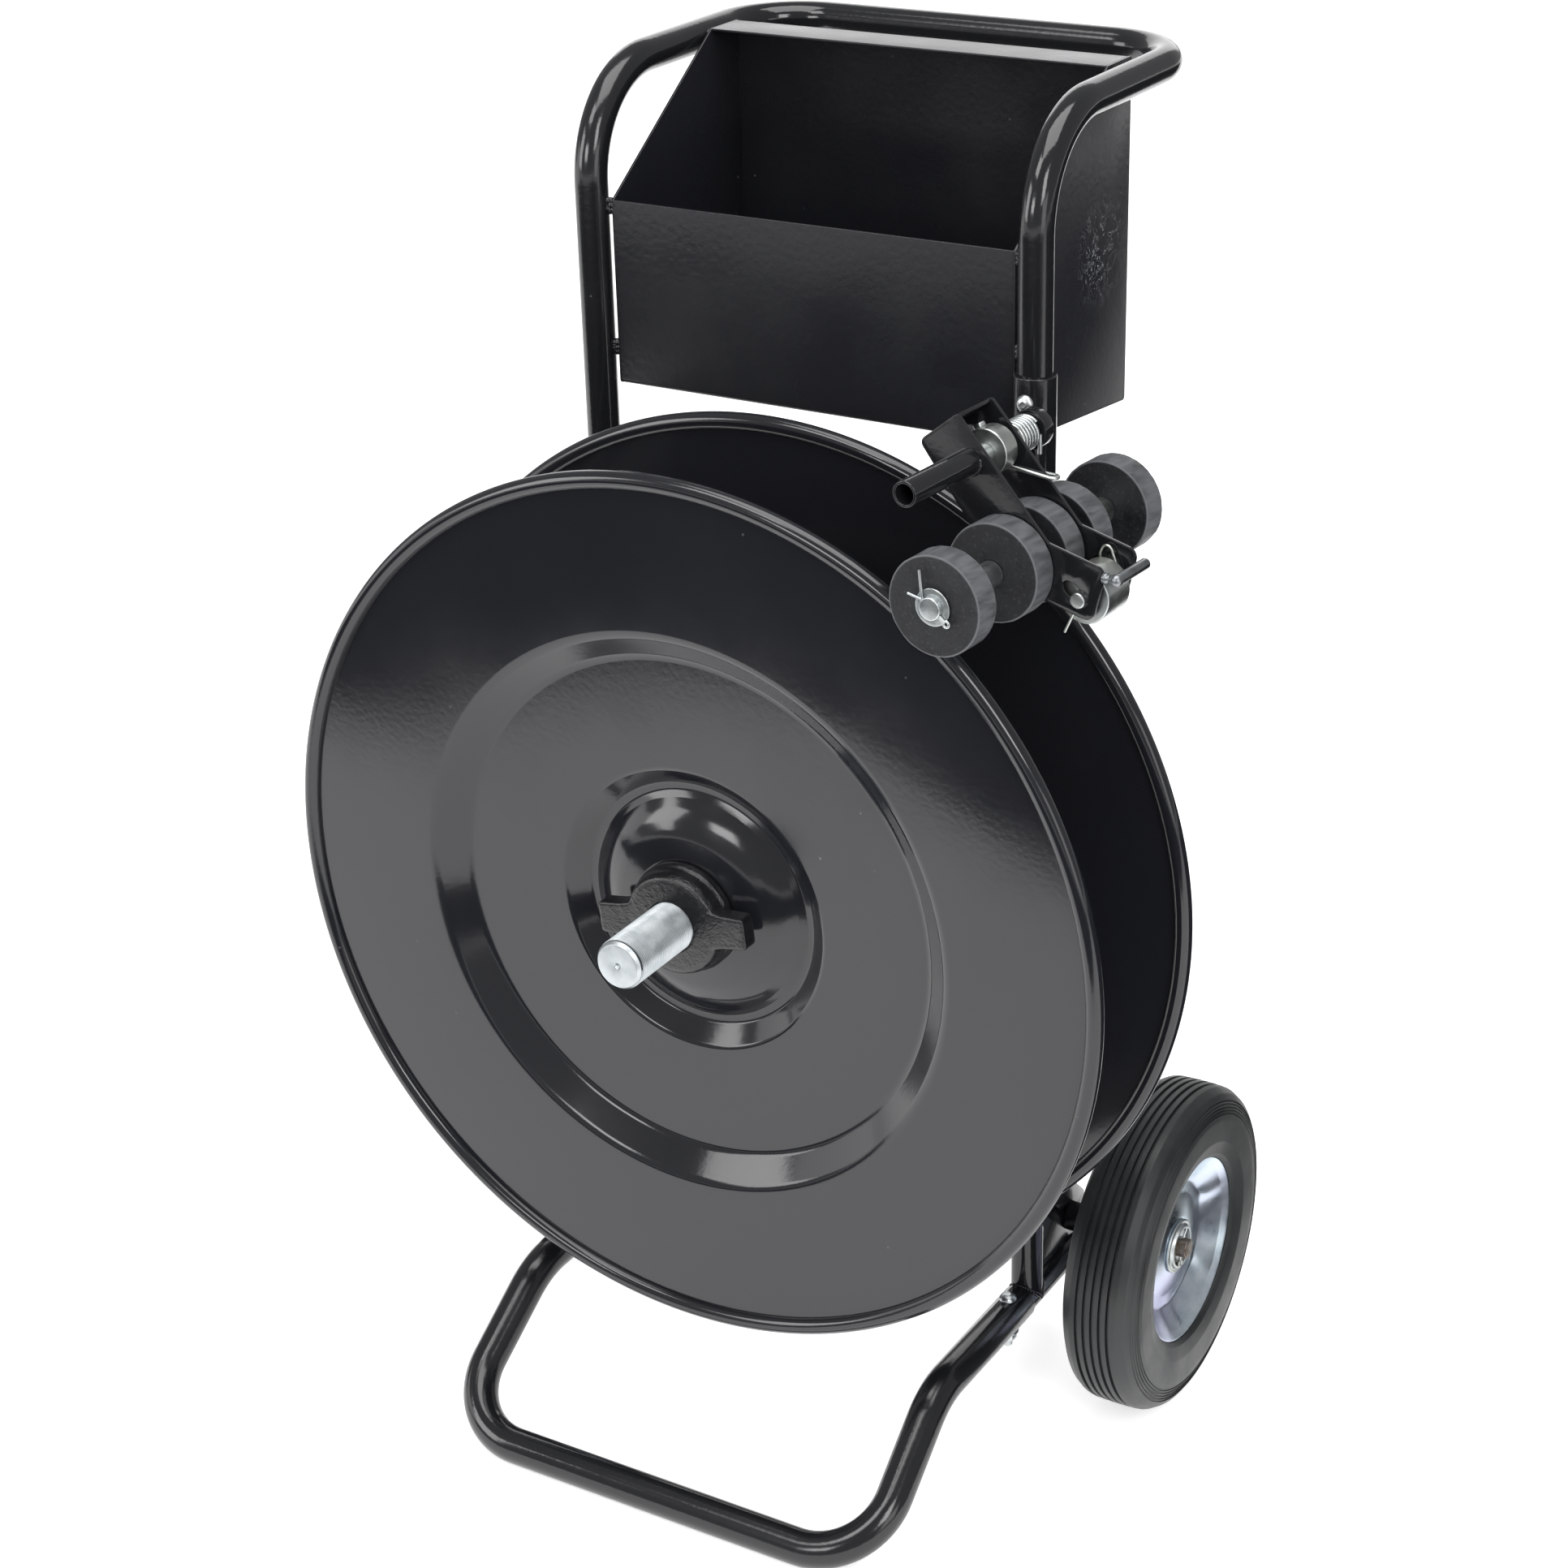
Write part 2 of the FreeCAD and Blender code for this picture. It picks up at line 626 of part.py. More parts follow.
def pivot_boss():
    """Round boss on an edge-on plate that stands off the sleeve."""
    boss = at_guide(rod(Vector(0, BOSS_START, 0), Y, BOSS_LENGTH, 14.0))
    centre = at_guide(Part.Vertex(0, BOSS_START + BOSS_LENGTH / 2, 0)).Point
    sleeve_axis = Vector(FRAME_HALF, FRAME_Y, 0)
    flat = Vector(centre.x, centre.y, 0) - sleeve_axis
    reach = flat.Length
    ahead = flat.normalize()
    outline = [
        sleeve_axis + Z * (SLEEVE_LOW + 4.0),
        sleeve_axis + Z * (SLEEVE_LOW + 44.0),
        sleeve_axis + ahead * reach + Z * (PIVOT_Z + 11.0),
        sleeve_axis + ahead * reach + Z * (PIVOT_Z - 11.0),
    ]
    across = ahead.cross(Z)
    gusset = plate(outline, across * 8.0)
    gusset.translate(across * -4.0)
    gusset = gusset.cut(rod(Vector(FRAME_HALF, FRAME_Y, SLEEVE_LOW), Z, 80.0, SLEEVE_R))
    clear_front = at_guide(rod(Vector(0, BOSS_START - 40.0, 0), Y, 40.0, 40.0))
    return gusset.cut(clear_front).fuse(boss)


def pivot_shaft():
    start = FRONT_FLANGE - 8.0
    return at_guide(rod(Vector(0, start, 0), Y, BOSS_START - start, PIVOT_R))


def arm_outline(level):
    """Dog-leg side plate: a steep upper leg and a flatter lower leg."""
    corners = [
        (-9.7, 31.0),
        (-39.3, 7.6),
        (28.5, -80.0),
        (95.2, -95.2),
        (104.6, -56.8),
        (60.5, -46.1),
    ]
    return [Vector(across, level, height) for across, height in corners]


def round_corners(shape, radius, points):
    """Fillet the short edges that pass through the listed corners."""
    chosen = []
    for edge in shape.Edges:
        middle = edge.CenterOfMass
        for point in points:
            near = math.hypot(middle.x - point.x, middle.z - point.z) < 0.5
            if near and edge.Length < 2 * FLANGE_T:
                chosen.append(edge)
    return shape.makeFillet(radius, chosen)


def arm_bracket():
    """Two side plates joined by a web across their upper ends."""
    plates = []
    for level in (FRONT_FLANGE, REAR_FLANGE):
        outline = arm_outline(level)
        side = plate(outline, Y * FLANGE_T)
        side = round_corners(side, 7.0, outline[3:5])
        plates.append(side)
    high, low = arm_outline(FRONT_FLANGE)[0:2]
    inward = (arm_outline(FRONT_FLANGE)[2] - low).normalize() * FLANGE_T
    web = plate([high, low, low + inward, high + inward], Y * (REAR_FLANGE - FRONT_FLANGE))
    arm = plates[0].fuse(plates[1]).fuse(web)
    length = REAR_FLANGE + FLANGE_T - FRONT_FLANGE
    arm = arm.cut(rod(Vector(0, FRONT_FLANGE, 0), Y, length, PIVOT_R + RUN))
    arm = arm.cut(rod(Vector(SHAFT_N, FRONT_FLANGE, SHAFT_Z), Y, length, SHAFT_R))
    slot_from = Vector(END_PIN_N - 8.0, FRONT_FLANGE, END_PIN_Z + 6.5)
    slot_to = Vector(END_PIN_N, FRONT_FLANGE, END_PIN_Z)
    for end in (slot_from, slot_to):
        arm = arm.cut(rod(end, Y, length, 5.6))
    sideways = (slot_to - slot_from).cross(Y).normalize() * 5.6
    corners = [slot_from + sideways, slot_to + sideways, slot_to - sideways, slot_from - sideways]
    return at_guide(arm.cut(plate(corners, Y * length)))


def arm_handle():
    start = -29.2
    return at_guide(pipe(Vector(0, start, 0), Y, FRONT_FLANGE - start, 9.1, PIVOT_R + RUN))


def shaft_collar():
    ring = pipe(Vector(0, 69.0, 0), Y, 15.0, 16.5, PIVOT_R)
    return at_guide(ring.cut(rod(Vector(0, 76.5, 0), Vector(-1, 0, 1.6), 30.0, 3.0)))


def set_screw():
    screw = rod(Vector(0, 76.5, 0), Vector(-1, 0, 1.6), 19.5, 3.0)
    return at_guide(screw.cut(rod(Vector(0, 60.0, 0), Y, 40.0, PIVOT_R)))


def torsion_spring():
    """Close coils round the pivot with one long leg hooked over the rear side plate."""
    start = REAR_FLANGE + FLANGE_T + 2.5
    turns = 7
    pitch = 3.55
    helix = Part.makeHelix(pitch, pitch * turns, SPRING_R)
    ring = Part.Wire(Part.makeCircle(SPRING_WIRE_R, Vector(SPRING_R, 0, 0), Y))
    coil = Part.Wire(helix.Edges).makePipeShell([ring], True, True)
    coil.rotate(ORIGIN, X, -90)
    coil.translate(Y * start)
    outside = start - 0.2
    leg_path = [
        Vector(SPRING_R, outside, 0.0),
        Vector(SPRING_R, outside, -17.0),
        Vector(42.0, outside, -17.0),
        Vector(42.0, REAR_FLANGE - 2.4, -17.0),
        Vector(9.0, REAR_FLANGE - 2.4, -14.0),
    ]
    leg = bent_rod(leg_path, [3.5, 3.5, 3.5], SPRING_WIRE_R)
    end = start + pitch * turns
    hook = rod(Vector(SPRING_R, end, 0), Z * -1, 14.0, SPRING_WIRE_R)
    return at_guide(group([coil, leg, hook]))


def roller_shaft():
    start = -50.0
    end = ROLLER_STARTS[-1] + ROLLER_W + 6.0
    shaft = rod(Vector(SHAFT_N, start, SHAFT_Z), Y, end - start, SHAFT_R)
    for level in (start + 2.6, end - 2.6):
        hole = Vector(SHAFT_N, level, SHAFT_Z)
        along = Vector(-0.86, 0, 0.5)
        shaft = shaft.cut(rod(hole - along * 20.0, along, 40.0, 1.9))
    return at_guide(shaft)


def guide_roller(start):
    wheel = pipe(Vector(SHAFT_N, start, SHAFT_Z), Y, ROLLER_W, ROLLER_R, SHAFT_R + RUN)
    rims = [edge for edge in wheel.Edges if edge.Closed and edge.Curve.Radius > SHAFT_R + 1.0]
    return at_guide(wheel.makeFillet(1.5, [edge for edge in rims if edge.Length > 100.0]))


def roller_spacers():
    """Tubes that keep the rollers apart on their shaft."""
    ends = [start + ROLLER_W for start in ROLLER_STARTS]
    gaps = [
        (ends[0], ROLLER_STARTS[1]),
        (ends[1], FRONT_FLANGE),
        (FRONT_FLANGE + FLANGE_T, ROLLER_STARTS[2]),
        (ends[2], REAR_FLANGE),
        (REAR_FLANGE + FLANGE_T, ROLLER_STARTS[3]),
        (ends[3], ROLLER_STARTS[4]),
    ]
    tubes = []
    for start, end in gaps:
        length = end - start - 2 * GAP
        tubes.append(pipe(Vector(SHAFT_N, start + GAP, SHAFT_Z), Y, length, SPACER_R, SHAFT_R))
    return at_guide(group(tubes))


def shaft_washers():
    front = Vector(SHAFT_N, ROLLER_STARTS[0] - GAP, SHAFT_Z)
    rear = Vector(SHAFT_N, ROLLER_STARTS[-1] + ROLLER_W + GAP, SHAFT_Z)
    return at_guide(group([
        pipe(front, Y * -1, 1.6, 13.0, SHAFT_R),
        pipe(rear, Y, 1.6, 13.0, SHAFT_R),
    ]))


def arm_cotters():
    """Split pins at both ends of the roller shaft and one at the end pin."""
    along = Vector(-0.86, 0, 0.5)
    away = Vector(0.5, 0, 0.86)
    front = Vector(SHAFT_N, -47.4, SHAFT_Z)
    rear = Vector(SHAFT_N, ROLLER_STARTS[-1] + ROLLER_W + 3.4, SHAFT_Z)
    pins = [cotter_pin(centre, along, away, 26.0, 0.9) for centre in (front, rear)]
    low_start = Vector(END_PIN_N - 3.0, FRONT_FLANGE + FLANGE_T + 1.4, END_PIN_Z - 5.0)
    pins.append(rod(low_start, Vector(-1, 0, -2.2), 24.0, 0.9))
    return at_guide(group(pins))


def end_pin():
    start = FRONT_FLANGE - 3.0
    length = REAR_FLANGE + FLANGE_T + 3.0 - start
    return at_guide(rod(Vector(END_PIN_N, start, END_PIN_Z), Y, length, 5.5))


def end_roller():
    start = FRONT_FLANGE + FLANGE_T + 3.0
    length = REAR_FLANGE - 7.0 - start
    return at_guide(pipe(Vector(END_PIN_N, start, END_PIN_Z), Y, length, END_ROLLER_R, 5.5 + RUN))


def hairpin_clip():
    """Thin wire clip over the end pin, just in front of the rear side plate."""
    level = REAR_FLANGE - 3.5
    path = [
        Vector(END_PIN_N - 6.6, level, END_PIN_Z - 8.0),
        Vector(END_PIN_N - 6.6, level, END_PIN_Z + 20.0),
        Vector(END_PIN_N - 1.0, level, END_PIN_Z + 32.0),
        Vector(END_PIN_N + 6.6, level, END_PIN_Z + 12.0),
        Vector(END_PIN_N + 6.6, level, END_PIN_Z - 8.0),
    ]
    return at_guide(bent_rod(path, [5.0, 4.0, 8.0], 0.9))


def guide_bar():
    """Round strap guide stood off the lower end of the arm, with ball ends."""
    centre = Vector(113.0, FRONT_FLANGE + 1.0, -62.0)
    bar = rod(centre, Y, 38.0, 4.0)
    near_ball = Part.makeSphere(5.0, centre)
    far_ball = Part.makeSphere(4.0, centre + Y * 38.0)
    link = rod(Vector(104.2, FRONT_FLANGE + 1.0, -62.0), X, 9.0, 3.5)
    shape = bar.fuse(near_ball).fuse(far_ball).fuse(link)
    solid_side = plate(arm_outline(FRONT_FLANGE), Y * FLANGE_T)
    solid_side = round_corners(solid_side, 7.0, arm_outline(FRONT_FLANGE)[3:5])
    return at_guide(shape.cut(solid_side))


# ================================================================ the set
def pieces():
    found = {
        "main_frame": main_frame(),
        "base_frame": base_frame(),
        "foot_stand": foot_stand(),
        "foot_bolts": foot_bolts(),
        "foot_nuts": foot_nuts(),
        "foot_washers": foot_washers(),
        "crossbars": crossbars(),
        "housing_plates": housing_plates(),
        "spindle_housing": spindle_housing(),
        "spindle_bearings": spindle_bearings(),
        "axle_brackets": axle_brackets(),
        "axle": axle(),
        "axle_spacers": axle_spacers(),
        "axle_washers": axle_washers(),
        "axle_cotters": axle_cotters(),
        "tray_wrap": tray_wrap(),
        "tray_side_right": tray_side(),
        "tray_side_left": mirrored(tray_side()),
        "tray_welds": tray_welds(),
        "spindle": spindle(),
        "rear_disc": reel_disc(REEL_REAR, -1, SPINDLE_R),
        "rear_hub": rear_hub(),
        "core_tube": core_tube(),
        "spindle_collar": spindle_collar(),
        "collar_screw": collar_screw(),
        "front_disc": reel_disc(REEL_FRONT, 1, SPINDLE_R + GAP),
        "clamp_nut": clamp_nut(),
        "guide_sleeve": sleeve(),
        "sleeve_bolt": sleeve_bolt(),
        "sleeve_nut": sleeve_nut(),
        "pivot_boss": pivot_boss(),
        "pivot_shaft": pivot_shaft(),
        "shaft_collar": shaft_collar(),
        "set_screw": set_screw(),
        "torsion_spring": torsion_spring(),
        "arm_bracket": arm_bracket(),
        "arm_handle": arm_handle(),
        "roller_shaft": roller_shaft(),
        "roller_spacers": roller_spacers(),
        "shaft_washers": shaft_washers(),
        "arm_cotters": arm_cotters(),
        "end_pin": end_pin(),
        "end_roller": end_roller(),
        "hairpin_clip": hairpin_clip(),
        "guide_bar": guide_bar(),
    }
    wheel_parts = {
        "tyre": tyre(),
        "rim_outer": rim_half(True),
        "rim_inner": rim_half(False),
        "hub": wheel_hub(),
        "bearings": wheel_bearings(),
    }
    for name, shape in wheel_parts.items():
        found["wheel_" + name + "_right"] = shape
        found["wheel_" + name + "_left"] = mirrored(shape)
    for number, start in enumerate(ROLLER_STARTS, 1):
        found["guide_roller_%d" % number] = guide_roller(start)
    return found


def main():
    os.makedirs("parts", exist_ok=True)
    for name, shape in pieces().items():
        shape.exportStep("parts/" + name + ".step")


main()
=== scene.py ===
import math
import random

import bmesh
import bpy
from mathutils import Matrix, Vector, noise


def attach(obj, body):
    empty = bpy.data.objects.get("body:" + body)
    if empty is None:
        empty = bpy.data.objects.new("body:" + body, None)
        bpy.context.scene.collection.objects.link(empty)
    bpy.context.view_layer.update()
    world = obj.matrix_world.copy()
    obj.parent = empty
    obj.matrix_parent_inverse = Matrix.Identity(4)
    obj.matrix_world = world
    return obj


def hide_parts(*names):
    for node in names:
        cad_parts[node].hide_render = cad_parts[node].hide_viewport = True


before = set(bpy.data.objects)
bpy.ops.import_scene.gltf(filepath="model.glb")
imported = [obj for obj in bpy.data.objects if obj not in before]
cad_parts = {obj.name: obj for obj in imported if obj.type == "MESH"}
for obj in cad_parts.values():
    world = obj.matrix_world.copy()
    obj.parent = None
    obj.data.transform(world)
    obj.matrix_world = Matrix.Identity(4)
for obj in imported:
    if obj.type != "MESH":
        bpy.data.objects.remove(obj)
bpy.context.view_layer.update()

# ------------------------------------------------------------------ sizes
# Millimetres, the same as the frame's.  piece() turns them to metres.
TUBE_R = 12.7
FRAME_HALF = 184.5
FRAME_Y = 9.8
HANDLE_Z = 1041.3
HANDLE_Y = 266.2
HANDLE_BENDS = [80.0, 62.0, 62.0, 80.0]
LOW_TUBE_Z = 98.0
LOW_FRONT = -68.2
LOW_REAR = 127.8
LOW_BENDS = [50.0, 50.0]

FOOT_R = 14.3
FOOT_Y = -264.6
FOOT_HALF = 189.0
FOOT_BENDS = [70.0, 58.0, 58.0, 70.0]
FOOT_RISE = math.radians(35.3)
FOOT_SLEEVE_END = -4.2
FOOT_BOLT_Y = -24.2

REEL_Z = 481.8
REEL_FRONT = -194.6
REEL_REAR = -48.3
CROSSBAR_RISE = 62.0
DISC_R = 342.0
BEAD_R = 6.5
SHEET = 1.6
SPINDLE_R = 19.05
SPINDLE_FRONT = REEL_FRONT - 80.3
SPINDLE_REAR = 67.8
THREAD_PITCH = 2.1
THREAD_LENGTH = 96.6
THREAD_STEPS = 44
NUT_TILT = math.radians(-6.5)

AXLE_Y = 79.4
AXLE_R = 7.94
AXLE_HALF = 294.0
WHEEL_R = 133.35
WHEEL_MID = 271.05
RIM_R = 76.2

TRAY_HALF = 168.0
TRAY_SHEET = 1.9
TRAY_FRONT = FRAME_Y + 1.0
TRAY_BACK = FRAME_Y + 186.0
TRAY_FRONT_LOW = 809.0
TRAY_BACK_LOW = 790.0
TRAY_FRONT_TOP = 950.0
TRAY_TOP = 1050.0
TRAY_LIP = 40.0

SLEEVE_R = 15.65
SLEEVE_LOW = 792.0
SLEEVE_TOP = 864.6
SLEEVE_BOLT_Z = 847.0

GUIDE_TURN = math.radians(-4.69)
PIVOT = (209.8, REEL_FRONT, 852.2)
PIVOT_R = 6.95
FLANGE_T = 3.0
FRONT_FLANGE = 48.7
REAR_FLANGE = 90.5
SHAFT_N = 31.9
SHAFT_Z = -65.6
SHAFT_R = 8.0
ROLLER_R = 35.0
ROLLER_W = 21.0
ROLLER_STARTS = (-44.2, 26.4, 67.0, 104.6, 172.6)
END_PIN_N = 85.2
END_PIN_Z = -80.8

MM = 0.001
FULL_TURN = 2.0 * math.pi
RIGHT = Vector((1, 0, 0))
BACK = Vector((0, 1, 0))
UP = Vector((0, 0, 1))

GUIDE = Matrix.Translation(PIVOT) @ Matrix.Rotation(GUIDE_TURN, 4, "Z")


# ------------------------------------------------------------------ materials
def linear(hex_colour):
    """sRGB hex to the linear colour that a shader socket takes."""
    channels = []
    for start in (1, 3, 5):
        value = int(hex_colour[start:start + 2], 16) / 255.0
        if value <= 0.04045:
            channels.append(value / 12.92)
        else:
            channels.append(((value + 0.055) / 1.055) ** 2.4)
    return (channels[0], channels[1], channels[2], 1.0)


def add_node(tree, kind, settings, inputs, stops=()):
    """One node, with its settings, its colour stops, and each input set or linked."""
    node = tree.nodes.new("ShaderNode" + kind)
    for number, (position, colour) in enumerate(stops):
        node.color_ramp.elements[number].position = position
        node.color_ramp.elements[number].color = colour
    for name, value in settings.items():
        setattr(node, name, value)
    for socket, value in inputs.items():
        if isinstance(value, bpy.types.NodeSocket):
            tree.links.new(value, node.inputs[socket])
        else:
            node.inputs[socket].default_value = value
    return node


def new_finish(name, metallic, ior):
    """An empty material: its node tree, its shader and the coordinates of the piece."""
    material = bpy.data.materials.new(name)
    material.use_nodes = True
    tree = material.node_tree
    tree.nodes.clear()
    shader = add_node(tree, "BsdfPrincipled", {}, {"Metallic": metallic, "IOR": ior})
    add_node(tree, "OutputMaterial", {}, {"Surface": shader.outputs["BSDF"]})
    coords = add_node(tree, "TexCoord", {}, {}).outputs["Object"]
    return material, tree, shader, coords


def stoved_enamel(name, colour, dust, rough_low, rough_high, peel, wave_depth=0.35):
    """Stoved gloss enamel, sprayed: a hard wet-looking skin with a faint orange peel
    about 4 mm across, a little dust nib here and there, and gloss that varies slowly."""
    material, tree, shader, coords = new_finish(name, 0.0, 1.5)
    slow = add_node(tree, "TexNoise", {}, {
        "Vector": coords, "Scale": 9.0, "Detail": 4.0, "Roughness": 0.55})
    nibs = add_node(tree, "TexVoronoi", {"feature": "F1"}, {
        "Vector": coords, "Scale": 42.0, "Randomness": 1.0})
    nib_spots = add_node(tree, "ValToRGB", {}, {"Fac": nibs.outputs["Distance"]},
        [(0.030, (1, 1, 1, 1)), (0.052, (0, 0, 0, 1))]).outputs["Color"]
    rare = add_node(tree, "ValToRGB", {}, {"Fac": slow.outputs["Fac"]},
        [(0.52, (0, 0, 0, 1)), (0.66, (1, 1, 1, 1))]).outputs["Color"]
    spots = add_node(tree, "Math", {"operation": "MULTIPLY"}, {0: nib_spots, 1: rare})
    skin = add_node(tree, "Mix", {"data_type": "RGBA"}, {
        "Factor": spots.outputs["Value"], "A": colour, "B": dust})
    tree.links.new(skin.outputs["Result"], shader.inputs["Base Color"])
    gloss = add_node(tree, "MapRange", {}, {
        "Value": slow.outputs["Fac"], "From Min": 0.3, "From Max": 0.7,
        "To Min": rough_low, "To Max": rough_high})
    tree.links.new(gloss.outputs["Result"], shader.inputs["Roughness"])
    fine = add_node(tree, "TexNoise", {}, {
        "Vector": coords, "Scale": 230.0, "Detail": 2.0, "Roughness": 0.4})
    wave = add_node(tree, "TexNoise", {}, {
        "Vector": coords, "Scale": 14.0, "Detail": 1.0, "Roughness": 0.4})
    ripple = add_node(tree, "Bump", {}, {
        "Strength": wave_depth, "Distance": 0.0006, "Height": wave.outputs["Fac"]})
    bump = add_node(tree, "Bump", {}, {
        "Strength": peel, "Distance": 0.00025, "Height": fine.outputs["Fac"],
        "Normal": ripple.outputs["Normal"]})
    tree.links.new(bump.outputs["Normal"], shader.inputs["Normal"])
    return material, tree, shader, coords


def tray_side_enamel():
    """The tray's enamel where other carts have rubbed it: pale hairline scuffs in one patch."""
    material, tree, shader, coords = stoved_enamel(
        "scuffed_enamel", linear("#191a1e"), linear("#5a5c5f"), 0.22, 0.36, 0.45)
    base = shader.inputs["Base Color"].links[0].from_socket
    patch = add_node(tree, "Mapping", {}, {"Vector": coords, "Location": (-0.168, -0.150, -0.915)})
    far = add_node(tree, "VectorMath", {"operation": "LENGTH"}, {"Vector": patch.outputs["Vector"]})
    near = add_node(tree, "MapRange", {}, {
        "Value": far.outputs["Value"], "From Min": 0.018, "From Max": 0.045,
        "To Min": 1.0, "To Max": 0.0})
    lines = add_node(tree, "TexNoise", {}, {
        "Vector": coords, "Scale": 45.0, "Detail": 3.0, "Roughness": 0.6, "Distortion": 2.5})
    hair = add_node(tree, "ValToRGB", {}, {"Fac": lines.outputs["Fac"]},
        [(0.497, (0, 0, 0, 1)), (0.503, (1, 1, 1, 1))]).outputs["Color"]
    hair_end = add_node(tree, "ValToRGB", {}, {"Fac": lines.outputs["Fac"]},
        [(0.506, (1, 1, 1, 1)), (0.512, (0, 0, 0, 1))]).outputs["Color"]
    thin = add_node(tree, "Math", {"operation": "MULTIPLY"}, {0: hair, 1: hair_end})
    scuff = add_node(tree, "Math", {"operation": "MULTIPLY"}, {
        0: thin.outputs["Value"], 1: near.outputs["Result"]})
    worn = add_node(tree, "Mix", {"data_type": "RGBA"}, {
        "Factor": scuff.outputs["Value"], "A": base, "B": linear("#8e9193")})
    tree.links.new(worn.outputs["Result"], shader.inputs["Base Color"])
    return material


def painted_casting():
    """Sand-cast iron under gloss paint: the sand grain, about 1 mm, shows through as a
    pebbled skin with sharp little highlights."""
    material, tree, shader, coords = new_finish("painted_casting", 0.0, 1.5)
    shader.inputs["Base Color"].default_value = linear("#101113")
    grain = add_node(tree, "TexNoise", {}, {
        "Vector": coords, "Scale": 620.0, "Detail": 4.0, "Roughness": 0.6})
    lumps = add_node(tree, "TexNoise", {}, {
        "Vector": coords, "Scale": 170.0, "Detail": 3.0, "Roughness": 0.55})
    gloss = add_node(tree, "MapRange", {}, {
        "Value": lumps.outputs["Fac"], "From Min": 0.3, "From Max": 0.7,
        "To Min": 0.11, "To Max": 0.26})
    tree.links.new(gloss.outputs["Result"], shader.inputs["Roughness"])
    lump = add_node(tree, "Bump", {}, {
        "Strength": 0.6, "Distance": 0.0010, "Height": lumps.outputs["Fac"]})
    bump = add_node(tree, "Bump", {}, {
        "Strength": 0.7, "Distance": 0.0005, "Height": grain.outputs["Fac"],
        "Normal": lump.outputs["Normal"]})
    tree.links.new(bump.outputs["Normal"], shader.inputs["Normal"])
    return material


def zinc_plate(name, pale, dull, rough_low, rough_high, tint, grain_scale):
    """Electroplated zinc: a bright grey-white metal, clouded, with a faint passivate tint
    that drifts over tens of millimetres."""
    material, tree, shader, coords = new_finish(name, 1.0, 1.5)
    cloud = add_node(tree, "TexNoise", {}, {
        "Vector": coords, "Scale": 60.0, "Detail": 5.0, "Roughness": 0.6})
    drift = add_node(tree, "TexNoise", {}, {
        "Vector": coords, "Scale": 13.0, "Detail": 1.0, "Roughness": 0.4})
    plate = add_node(tree, "ValToRGB", {}, {"Fac": cloud.outputs["Fac"]},
        [(0.35, dull), (0.65, pale)]).outputs["Color"]
    amount = add_node(tree, "ValToRGB", {}, {"Fac": drift.outputs["Fac"]},
        [(0.42, (0, 0, 0, 1)), (0.70, (0.75, 0.75, 0.75, 1))]).outputs["Color"]
    colour = add_node(tree, "Mix", {"data_type": "RGBA"}, {"Factor": amount, "A": plate, "B": tint})
    tree.links.new(colour.outputs["Result"], shader.inputs["Base Color"])
    gloss = add_node(tree, "MapRange", {}, {
        "Value": cloud.outputs["Fac"], "From Min": 0.3, "From Max": 0.7,
        "To Min": rough_low, "To Max": rough_high})
    tree.links.new(gloss.outputs["Result"], shader.inputs["Roughness"])
    grain = add_node(tree, "TexNoise", {}, {
        "Vector": coords, "Scale": grain_scale, "Detail": 2.0, "Roughness": 0.5})
    bump = add_node(tree, "Bump", {}, {
        "Strength": 0.25, "Distance": 0.0002, "Height": grain.outputs["Fac"]})
    tree.links.new(bump.outputs["Normal"], shader.inputs["Normal"])
    return material


def bare_steel():
    """Cold-drawn bar, sawn and left bare: grey steel with a thin brown bloom of rust."""
    material, tree, shader, coords = new_finish("bare_steel", 1.0, 1.5)
    bloom = add_node(tree, "TexNoise", {}, {
        "Vector": coords, "Scale": 260.0, "Detail": 5.0, "Roughness": 0.65})
    colour = add_node(tree, "ValToRGB", {}, {"Fac": bloom.outputs["Fac"]},
        [(0.38, linear("#8d867f")), (0.66, linear("#5e4c40"))]).outputs["Color"]
    tree.links.new(colour, shader.inputs["Base Color"])
    gloss = add_node(tree, "MapRange", {}, {
        "Value": bloom.outputs["Fac"], "From Min": 0.3, "From Max": 0.7,
        "To Min": 0.32, "To Max": 0.6})
    tree.links.new(gloss.outputs["Result"], shader.inputs["Roughness"])
    bump = add_node(tree, "Bump", {}, {
        "Strength": 0.3, "Distance": 0.0002, "Height": bloom.outputs["Fac"]})
    tree.links.new(bump.outputs["Normal"], shader.inputs["Normal"])
    return material


